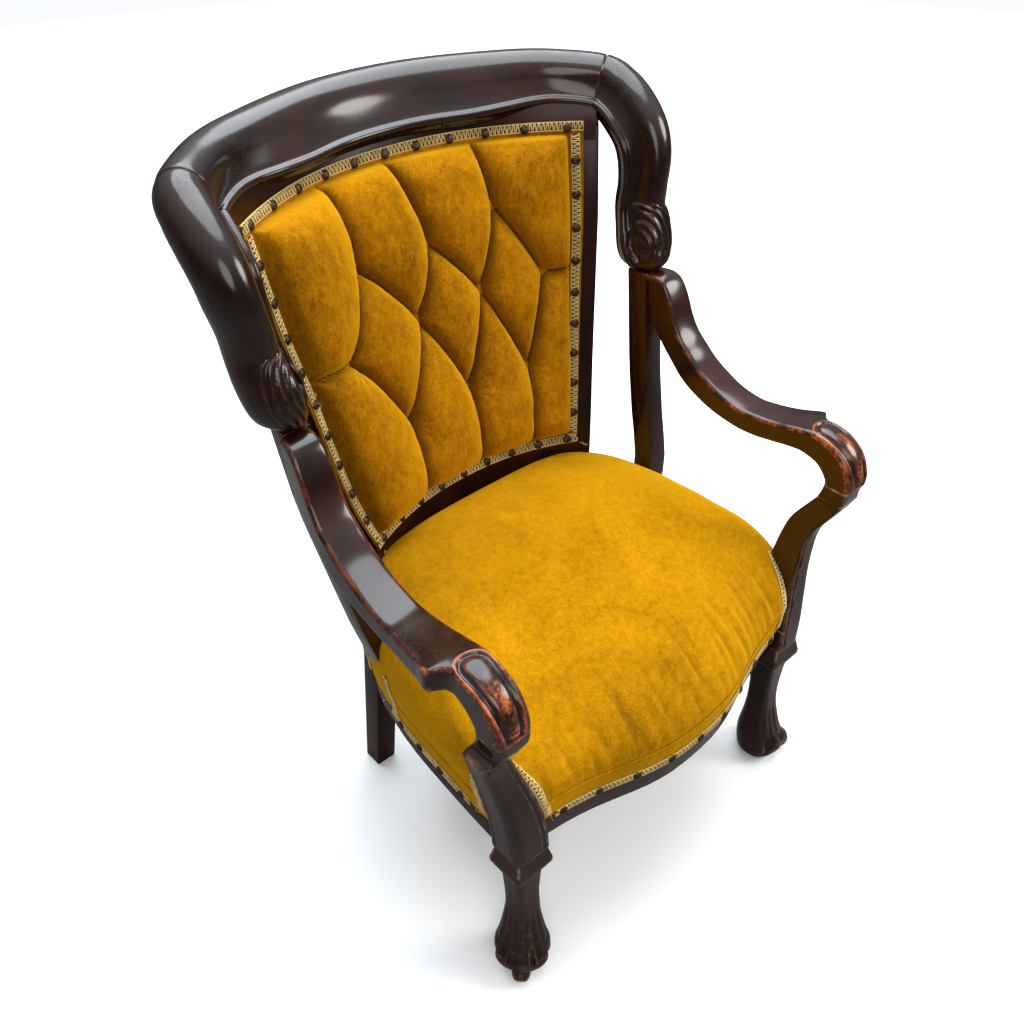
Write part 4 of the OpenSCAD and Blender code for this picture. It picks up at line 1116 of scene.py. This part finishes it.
# painted shade: the velvet is darkened along the pleats and at the rim under the braid, where the folds lie in shade
painted_pleat_shade = 1.0 * np.exp(-pleat_d / 6.5) * np.clip(border_d / 6, 0, 1)
painted_pleat_shade = np.maximum(painted_pleat_shade, 0.5 * np.exp(-np.clip(border_d, 0, 99) / 4.0) * (border_d > -2))
still = np.zeros((len(wrapped) - n_z, n_s))
still[-1] = painted_pleat_shade[0]
cushion = shaped_sheet("back_cushion", wrapped, tube=True,
                       values={"hollow": np.concatenate([painted_pleat_shade, still])})
cushion.data.materials.append(shaded_back_velvet)
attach(cushion, "root")
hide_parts("back_cover", "back_stuffing")
print("cushion points:", len(cushion.data.vertices))

# %% [markdown]
# ### Covered buttons
# Each button is a small mould covered with a disc of the same velvet. One is shaped from a
# sphere that is pressed flat underneath, and copied to every spot, leaning with the panel.

# %% Make the buttons
def placed_copies(master, name, spots):
    """Copies of a small master at (place, outward direction), joined into one piece."""
    made = []
    for spot, direction in spots:
        copy = bpy.data.objects.new(name, master.data.copy())
        scene.collection.objects.link(copy)
        spin = Matrix.Rotation(rng.uniform(0, 6.28), 4, "Z")
        lean = Vector(direction).to_track_quat("Z", "Y").to_matrix().to_4x4()
        copy.data.transform(Matrix.Translation(Vector(spot)) @ lean @ spin)
        made.append(copy)
    return joined(name, made)


bpy.ops.object.select_all(action="DESELECT")
bpy.ops.mesh.primitive_uv_sphere_add(segments=24, ring_count=12, radius=0.0088)
button = bpy.context.object
co = corners_of(button)
co[:, 2] = np.where(co[:, 2] < 0, co[:, 2] * 0.25, co[:, 2] * 0.55)
button.data.vertices.foreach_set("co", co.astype(np.float32).ravel())
spots = [(metres(on_panel(s, z, 1.5)), panel_normal(np.array(s), np.array(z))) for s, z in button_spots]
buttons = placed_copies(button, "covered_buttons", spots)
bpy.data.objects.remove(button)
bpy.ops.object.shade_smooth()
buttons.data.materials.append(shaded_back_velvet)
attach(buttons, "root")
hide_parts("back_buttons")
print("buttons:", len(spots))

# %% [markdown]
# ## The sprung seat
# The seat is one tight dome over springs, sewn to a border band a little above the rail. Rings
# of its outline are stacked from the rail to the crown, and the solid is remeshed into even
# cells, so that a cloth run swells it evenly. Seams and pull marks come after that.

# %% Rings of the seat
front_line = smooth([(0, 0), (40, 1.6), (80, 9), (122, 22), (158, 33), (195, 41), (230, 46)], 4)
side_line = smooth([(277, 84), (276, 120), (273, 180), (268, 250), (259, 310), (250, 350),
                    (236, 384), (219, 409)], 4)
seat_half = np.concatenate([front_line, [(250, 52), (266, 62), (274, 72)], side_line,
                            [(200, 424), (176, 434), (146, 441), (100, 446), (50, 448.5), (0, 449)]])
seat_loop = np.concatenate([seat_half, seat_half[-2:0:-1] * [-1, 1], seat_half[:1]])
seat_loop, _ = even(smooth(seat_loop, 3), 7.0, 2)
tangent = unit(np.gradient(seat_loop, axis=0))
seat_out = np.stack([tangent[:, 1], -tangent[:, 0]], 1)
# height over the rails, offset, share of width, front depth, back depth
seat_rows = smooth([
    (-15, 3.6, 1, 0, 449), (0, 4.4, 1, 0, 449), (14, 5.2, 1, 0, 449), (20, 5.4, 1, 0, 449),
    (27, 7.0, 1, 0, 449), (40, 8.6, 1, 4, 449), (56, 9.0, 1, 13, 449), (78, 8.0, 1, 34, 449), (98, 5.0, 0.995, 64, 449),
    (112, 1.0, 0.98, 92, 448), (122, -2, 0.945, 116, 447), (130, -3, 0.895, 144, 446),
    (136, -3, 0.82, 174, 443), (141, -3, 0.71, 210, 438), (144, -3, 0.57, 250, 430),
    (146, -3, 0.41, 292, 418), (147, -3, 0.23, 324, 402), (147.4, -3, 0.06, 346, 380)], 4)
rail_top = 306.0


def seat_ring(z, offset, wide, front_v, back_v, skin=0.0):
    q = seat_loop + seat_out * (offset - skin)
    v = front_v + q[:, 1] / 449 * (back_v - front_v)
    return np.stack([q[:, 0] * wide, v, np.full(len(q), rail_top + z)], 1)


seat_rings = np.array([seat_ring(*row) for row in seat_rows])
print("seat rings:", len(seat_rings), "points round:", seat_rings.shape[1])

# %% Remesh it, let it swell, then smooth it
seat = shaped_sheet("seat_cushion", metres(seat_rings), tube=True)
even_cells = seat.modifiers.new("even", "REMESH")
even_cells.mode = "VOXEL"
even_cells.voxel_size = 0.0065
bpy.ops.object.modifier_apply(modifier="even")
co = corners_of(seat)
low_edge = (rail_top + 24) / 1000
hold = np.clip((low_edge + 0.02 - co[:, 2]) / 0.02, 0, 1)
hold = np.maximum(hold, np.clip((co[:, 1] - 0.075) / 0.03, 0, 1))
co = co + settle_as_cloth(seat, hold, 1.6, 12, 0.005, 18.0)
mean = neighbour_mean(seat)
for _ in range(3):
    co = np.where(co[:, 2:] > rail_top / 1000, mean(co), co)
seat.data.vertices.foreach_set("co", co.astype(np.float32).ravel())
finer = seat.modifiers.new("finer", "SUBSURF")
finer.levels = finer.render_levels = 1
bpy.ops.object.modifier_apply(modifier="finer")
print("seat points:", len(seat.data.vertices))

# %% Pull marks, a sat-in hollow and the seam
co = corners_of(seat)
normal = np.empty(len(co) * 3, np.float32)
seat.data.vertices.foreach_get("normal", normal)
normal = normal.reshape(-1, 3)
x_mm, v_mm, z_mm = co[:, 0] * 1000, co[:, 1] * 1000 + crown_depth, co[:, 2] * 1000
pull = np.zeros(len(co))
for length in (17, 23, 31, 44, 62):
    phase = rng.uniform(0, 6.28)
    lean = rng.uniform(-0.25, 0.25)
    pull += np.sin((x_mm + lean * z_mm) * 2 * np.pi / length + phase + 0.8 * np.sin(z_mm / 27 + phase)) / 5
front_part = np.exp(-(((v_mm - 30) / 46) ** 2)) * np.clip((z_mm - 330) / 12, 0, 1)
pull = np.clip(pull + 0.15, -0.4, 1) * front_part * 2.1
ripple = np.sin(x_mm / 31 + 1.1 * np.sin(v_mm / 47)) * np.sin(v_mm / 39 + 0.7)
ripple = ripple * np.clip((z_mm - 380) / 30, 0, 1)
seam_z = rail_top + 22
seam = -1.6 * np.exp(-(((z_mm - seam_z) / 2.6) ** 2))
sat_in = -2.5 * np.exp(-((x_mm / 130) ** 2 + ((v_mm - 270) / 110) ** 2)) * (z_mm > 400)
co += normal * ((pull + 0.5 * ripple + seam + sat_in) / 1000)[:, None]
seat.data.vertices.foreach_set("co", co.astype(np.float32).ravel())
seat.data.update()
# painted shade: the velvet is darkened along the seam groove and in the troughs of the pull marks
keep_value(seat, "hollow", np.clip(0.45 * np.exp(-(((z_mm - seam_z) / 2.2) ** 2)) * (v_mm < 400)
           - np.minimum(pull, 0) * 0.5, 0, 1))
bpy.ops.object.shade_smooth()
seat.data.materials.append(seat_velvet)
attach(seat, "root")
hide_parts("seat_cover", "seat_stuffing", "seat_border_front", "seat_border_left", "seat_border_right")
print("seat crown:", round(float(co[:, 2].max()), 3), "m")

# %% Shade the pile towards the back
shade = seat.data.attributes.get("hollow")
place = corners_of(seat)
dark = np.zeros(len(place), np.float32)
if shade is not None and shade.domain == "POINT":
    shade.data.foreach_get("value", dark)
towards_back = np.clip((place[:, 1] - 0.45 * place[:, 0] + 0.10) / 0.36, 0, 1)
keep_value(seat, "hollow", np.maximum(dark, 0.34 * towards_back))
print("points in the shade of the back:", int((towards_back > 0.3).sum()))

# %% [markdown]
# ### The seam of the border
# The dome is sewn to its border band over a thin covered cord, which runs round the seat at
# one height. The cord is a tube that is carried along the seat's own ring.

# %% Make tubes along a line
def tube_along(name, line, radius, sides=6):
    """A closed tube along a line in metres. The radius may change from point to point."""
    line = np.asarray(line, float)
    along = unit(np.gradient(line, axis=0))
    ref = np.where(np.abs(along[:, 2:]) > 0.9, np.array([[1.0, 0, 0]]), np.array([[0, 0, 1.0]]))
    u = unit(np.cross(along, ref))
    w = np.cross(along, u)
    r = np.broadcast_to(np.asarray(radius, float), (len(line),))[:, None, None]
    a = np.radians(np.arange(sides + 1) * 360 / sides)[None, :, None]
    points = line[:, None] + r * (u[:, None] * np.cos(a) + w[:, None] * np.sin(a))
    return shaped_sheet(name, points, tube=True)


welt_ring = seat_ring(22, 6.0, 1, 0, 449)
welt_ring = welt_ring[(welt_ring[:, 1] < 300)]
jump = np.argmax(np.linalg.norm(np.diff(welt_ring, axis=0), axis=1))
welt_ring = np.concatenate([welt_ring[jump + 1:], welt_ring[: jump + 1]])
welt_ring, _ = even(welt_ring, 3.0)
welt = tube_along("seat_welt", metres(welt_ring), 0.0014, 8)
welt.data.materials.append(seat_velvet)
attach(welt, "root")
print("welt length:", round(len(welt_ring) * 0.003, 2), "m")

# %% [markdown]
# ## Braid
# The edges of the velvet are covered with a woven gimp: a flat tape with a firm cord along
# each side and two looped cords that cross down its middle. Its loops are real geometry here,
# because they stand out from the tape and catch the light.

# %% Braid material
braid_group, g_in, g_out = new_group("gimp_thread",
    [("Shade", COLOUR, (0.36, 0.22, 0.05, 1)), ("Thread", COLOUR, (0.86, 0.65, 0.25, 1))],
    [("Colour", COLOUR), ("Roughness", FLOAT), ("Height", FLOAT)])
t = braid_group
place = add(t, "ShaderNodeTexCoord").outputs["Object"]
strand = noise(t, place, 900, 2, 0.6)
soil = ramp(t, noise(t, place, 26, 4, 0.6), [(0.35, 0.0), (0.65, 1.0)])
lightness = math_node(t, "MULTIPLY", strand, 0.7)
lightness = math_node(t, "ADD", lightness, math_node(t, "MULTIPLY", soil, 0.4), True)
t.links.new(blend_colour(t, lightness, g_in.outputs["Shade"], g_in.outputs["Thread"]), g_out.inputs["Colour"])
t.links.new(math_node(t, "ADD", math_node(t, "MULTIPLY", strand, 0.2), 0.6), g_out.inputs["Roughness"])
t.links.new(strand, g_out.inputs["Height"])
cream_thread = finish_material("cream_thread", braid_group, {},
    {"Sheen Weight": 0.3, "Specular IOR Level": 0.3}, bump=0.0004)
# the tape under the cords is very dark: partly its own colour, partly painted shade in the gaps between the loops
ochre_tape_and_gap_shade = finish_material("ochre_tape_and_gap_shade", braid_group,
    {"Shade": (0.035, 0.016, 0.003, 1), "Thread": (0.11, 0.055, 0.01, 1)},
    {"Specular IOR Level": 0.15}, bump=0.0003)
print("braid materials: 2")


# %% Weave a length of braid
thread_step = 0.75
loop_pitch, twist_pitch = 5.8, 2.4


def woven(name, line, facing, width, tape_foot, tape_top, edge_lift, edge_radius, edge_twist):
    """Braid along a line in millimetres; `facing` is the outward direction at each point."""
    both, _ = even(np.concatenate([line, facing], axis=1), thread_step)
    p, n = both[:, :3], unit(both[:, 3:])
    across = unit(np.cross(unit(np.gradient(p, axis=0)), n))
    s = np.arange(len(p)) * thread_step
    half = width / 2 - 1.2
    tape = np.array([(-half, tape_foot), (-half, tape_top), (half, tape_top), (half, tape_foot),
                     (-half, tape_foot)])
    flat = p[:, None] + across[:, None] * tape[None, :, :1] + n[:, None] * tape[None, :, 1:]
    base = shaped_sheet(name + "_tape", metres(flat[::3]), tube=True)
    base.data.materials.append(ochre_tape_and_gap_shade)
    twist = edge_twist * np.sin(2 * np.pi * s / twist_pitch)
    level_lift = edge_lift + 0 * s
    # a wave with flat tops is a cord that is looped back and forth
    loops = 0.78 * half * np.tanh(2.6 * np.sin(2 * np.pi * s / loop_pitch))
    loop_lift = 1.9 + 0.3 * np.cos(2 * np.pi * s / loop_pitch)
    made = [base]
    for k, (side_mm, lift, radius) in enumerate((
            (half + twist, level_lift, edge_radius), (-half + twist, level_lift, edge_radius),
            (loops, loop_lift, 0.95))):
        route = p + across * side_mm[:, None] + n * lift[:, None]
        cord = tube_along(f"{name}_cord_{k}", metres(route), radius / 1000, 5)
        cord.data.materials.append(cream_thread)
        made.append(cord)
    return joined(name, made)


def braid(name, line, facing, gone):
    """One run of braid that stands for one node of the frame."""
    piece = woven(name, line, facing, 13.0, 0.0, 0.9, 1.3, 0.8, 0.25)
    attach(piece, "root")
    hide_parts(gone)


panel_foot, panel_head = 459, 903
gimp_mid = 7.0
s_top = np.linspace(-1, 1, 60)
z_side = np.linspace(panel_foot + 15, panel_head - 15, 50)
side_share = 0.967
for name, s_run, z_run in (("braid_back_top", s_top, panel_head - 5.0),
                           ("braid_back_bottom", s_top, panel_foot + gimp_mid),
                           ("braid_back_right", side_share, z_side),
                           ("braid_back_left", -side_share, z_side)):
    s_run, z_run = np.broadcast_arrays(s_run, z_run)
    s_run, z_run = s_run.astype(float), z_run.astype(float)
    braid(name, on_panel(s_run, z_run, 0.7), panel_normal(s_run, z_run), name.replace("braid", "gimp"))
print("braid round the back made")


# %% Braid round the seat and beside the posts
def rail_run(points, offset, z):
    """A level run at an offset from the rail's face, and its outward directions."""
    p, _ = even(points, 4.0, 2)
    tan = unit(np.gradient(p, axis=0))
    out = np.stack([tan[:, 1], -tan[:, 0]], 1)
    p = p + out * offset
    return (np.column_stack([p, np.full(len(p), z)]), np.column_stack([out, np.zeros(len(p))]))


gimp_z = rail_top - 17 + gimp_mid
right_front = front_line[front_line[:, 0] <= 216]
whole_front = np.concatenate([right_front[:0:-1] * [-1, 1], right_front])
braid("braid_seat_front", *rail_run(whole_front, 4.3, gimp_z), "gimp_seat_front")
right_side = side_line[(side_line[:, 1] > 116) & (side_line[:, 1] < 298)]
line, facing = rail_run(right_side, 4.3, gimp_z)
braid("braid_seat_right", line, facing, "gimp_seat_right")
swap = np.array([-1, 1, 1])
braid("braid_seat_left", line[::-1] * swap, facing[::-1] * swap, "gimp_seat_left")
# inner strip along the front post, then the strip behind it, then the two at the back post
inner_strip = smooth([(262, 90, 404), (249, 78, 380), (237, 64, 352), (229, 52, 326), (226, 42, 305)], 8)
outer_strip = smooth([(287, 101, 384), (285, 103, 362), (282, 100, 336), (279, 97, 308)], 8)
back_strips = (smooth([(272, 292, 372), (271, 288, 340), (267, 284, 308)], 8),
               smooth([(246, 372, 372), (246, 371, 340), (243, 369, 308)], 8))


def on_velvet(run):
    """The line moved to the nearest place on the right half of the seat, and its normals."""
    hits = [seat.closest_point_on_mesh(Vector(p)) for p in metres(run)]
    p = np.array([h[1] for h in hits])
    n = neighbour_line(np.array([h[2] for h in hits]), 4)
    p = neighbour_line(p, 2)
    return p * 1000 + [0, crown_depth, 0] + n * 0.4, n


def neighbour_line(values, rounds):
    """Averages a line of points with its neighbours, ends kept."""
    for _ in range(rounds):
        values[1:-1] = (values[:-2] + 2 * values[1:-1] + values[2:]) / 4
    return values


def strip_pair(name, node, strips):
    """The upright strips beside one post, on both sides of the chair."""
    for side_name, sign in (("right", 1), ("left", -1)):
        made = []
        for k, run in enumerate(strips):
            run, face = on_velvet(run)
            made.append(woven(f"{name}_{side_name}_{k}", run * [sign, 1, 1], face * [sign, 1, 1],
                              11.0, -0.6, 0.8, 1.2, 0.95, 0.0))
        piece = joined(f"{name}_{side_name}", made)
        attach(piece, "root")
        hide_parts(f"{node}_{side_name}")


strip_pair("braid_front_post", "gimp_front_post", (inner_strip, outer_strip))
strip_pair("braid_back_post", "gimp_back_post", back_strips)
print("braid round the seat made")

# %% [markdown]
# ## Rails of the back and the outside cover
# Between the bead of the crest and the braid a flat strip of the top rail shows, and below the
# braid the bottom rail runs down to the seat. Both follow the curve of the panel, so they are
# slabs between two offsets of it. Behind, one plain tight piece of velvet closes the frame.

# %% Make the rails and the outside cover
def panel_slab(name, s_values, z_values, front_mm, back_mm, puff_mm=0.0):
    """A slab over the panel between two offsets; the back may be puffed outwards."""
    s, z = np.meshgrid(s_values, z_values)
    dome_s = 1 - np.abs(2 * (s - s.min()) / (s.max() - s.min()) - 1) ** 4
    dome_z = 1 - np.abs(2 * (z - z.min()) / (z.max() - z.min()) - 1) ** 4
    a = on_panel(s, z, front_mm)
    b = on_panel(s, z, back_mm - puff_mm * dome_s * dome_z)
    loop = np.concatenate([a, b[:, ::-1], a[:, :1]], axis=1)
    return shaped_sheet(name, metres(loop), tube=True)


fillet = panel_slab("top_rail_with_fillet", np.linspace(-1.05, 1.05, 96),
                    np.array([880, 886, 900, 904, 918, 930.0]), -0.6, -27)
low_rail = panel_slab("bottom_rail_with_face", np.linspace(-1.02, 1.02, 90),
                      np.array([412, 416, 430, 445, 459, 462.0]), -0.6, -24)
for rail, node_name in ((fillet, "back_top_rail"), (low_rail, "back_bottom_rail")):
    rail.data.materials.append(dull_wood)
    bpy.data.objects.remove(eased.pop(node_name))
    bpy.ops.object.select_all(action="DESELECT")
    bpy.context.view_layer.objects.active = rail
    rail.select_set(True)
    bpy.ops.object.shade_smooth_by_angle(angle=math.radians(35))
    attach(rail, "root")
    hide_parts(node_name)
outside = panel_slab("outside_back_velvet", np.linspace(-0.97, 0.97, 70),
                     np.linspace(442, 922, 90), -27.4, -29.0, 5.0)
outside.data.materials.append(shaded_back_velvet)
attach(outside, "root")
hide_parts("outside_back_cover")
print("slabs over the panel: 3")

# %% [markdown]
# ## Nails, hidden frame and linings
# The nails are steel with a hammered, darkened bronze face. The raw frame, springs, webbing and
# linings keep their frame shapes and get their own finishes, because a lifted chair shows them.

# %% Plain finishes
def plain_group(name, low, high, scale, rough, stretch=(1, 1, 1)):
    """Two colours in a noise, which is enough for raw and hidden materials."""
    g, _, g_out = new_group(name, [], [("Colour", COLOUR), ("Roughness", FLOAT), ("Height", FLOAT)])
    place = add(g, "ShaderNodeTexCoord").outputs["Object"]
    place = add(g, "ShaderNodeMapping", {"Vector": place, "Scale": stretch}).outputs[0]
    figure = noise(g, place, scale, 5, 0.6)
    share = ramp(g, figure, [(0.3, 0.0), (0.7, 1.0)])
    g.links.new(blend_colour(g, share, (*low, 1), (*high, 1)), g_out.inputs["Colour"])
    roughness = math_node(g, "ADD", math_node(g, "MULTIPLY", figure, 0.2), rough - 0.1, True)
    g.links.new(roughness, g_out.inputs["Roughness"])
    g.links.new(figure, g_out.inputs["Height"])
    return g


hammered = finish_material("hammered_bronze",
    plain_group("bronze_face", (0.012, 0.009, 0.007), (0.11, 0.075, 0.045), 260, 0.42), {},
    {"Metallic": 0.85}, bump=0.0016)
beech = finish_material("raw_beech",
    plain_group("beech", (0.36, 0.23, 0.12), (0.55, 0.38, 0.21), 40, 0.75, (1, 1, 0.2)), {}, {})
jute = finish_material("jute_webbing_weave",
    plain_group("jute", (0.28, 0.20, 0.10), (0.50, 0.38, 0.22), 700, 0.9), {}, {}, bump=0.001)
hessian_cloth = finish_material("hessian_cloth",
    plain_group("hessian", (0.32, 0.25, 0.14), (0.52, 0.42, 0.27), 900, 0.9), {}, {}, bump=0.0008)
cambric = finish_material("black_lining",
    plain_group("cambric", (0.006, 0.006, 0.006), (0.02, 0.02, 0.02), 800, 0.85), {}, {}, bump=0.0003)
wire = finish_material("coppered_wire",
    plain_group("wire", (0.20, 0.13, 0.09), (0.42, 0.34, 0.28), 60, 0.4), {}, {"Metallic": 1.0})
hidden = {
    hammered: ("back_nails", "seat_nails"), wire: ("seat_springs", "block_screws"), cambric: ("dust_cover",),
    beech: ("rear_rail", "corner_block_front_left", "corner_block_front_right", "corner_block_rear_left",
            "corner_block_rear_right", "arm_dowels", "scroll_dowels"),
    jute: ("webbing_lengthways", "webbing_crossways", "back_webbing"),
    hessian_cloth: ("seat_hessian", "back_hessian")}
for material, names in hidden.items():
    for name in names:
        nodes[name].data.materials.clear()
        nodes[name].data.materials.append(material)
print("frame nodes with a new finish:", sum(len(v) for v in hidden.values()))

# %% [markdown]
# ## Loose threads
# At the corners the braid has frayed: a few cream threads have pulled out and hang.

# %% Pull some threads
def loose_thread(start, direction, length_mm, curl):
    """A thin wandering line that starts at a point in millimetres and falls."""
    p = np.array(start, float)
    d = unit(np.array(direction, float))
    out = [p.copy()]
    for _ in range(int(length_mm / 1.5)):
        d = unit(d + rng.normal(size=3) * curl + np.array([0, 0, -0.10]))
        p = p + d * 1.5
        out.append(p.copy())
    return smooth(out, 2)


fray = [((231, 430, 458), (0.1, -0.6, -0.2), 20), ((183, 404, 463), (0.3, -0.8, -0.3), 16),
        ((186, 402, 465), (0.6, -0.6, 0.0), 12), ((-184, 404, 462), (-0.3, -0.8, -0.2), 14),
        ((-226, 448, 700), (0.3, -0.9, 0.2), 16), ((-224, 446, 692), (-0.2, -0.9, -0.1), 12),
        ((-224, 40, 303), (-0.2, -0.9, 0.1), 16), ((-218, 40, 298), (0.4, -0.9, -0.2), 18),
        ((-287, 105, 312), (-0.7, -0.2, 0.1), 20), ((-284, 104, 308), (-0.8, 0.1, 0.0), 26),
        ((224, 40, 303), (0.2, -0.9, 0.1), 14), ((-272, 290, 330), (-0.8, 0.1, 0.2), 16)]
threads = [tube_along(f"thread_{k}", metres(loose_thread(a, d, n, 0.35)), 0.00028, 4)
           for k, (a, d, n) in enumerate(fray)]
threads = joined("frayed_threads", threads)
threads.data.materials.append(cream_thread)
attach(threads, "root")
print("threads:", len(fray))
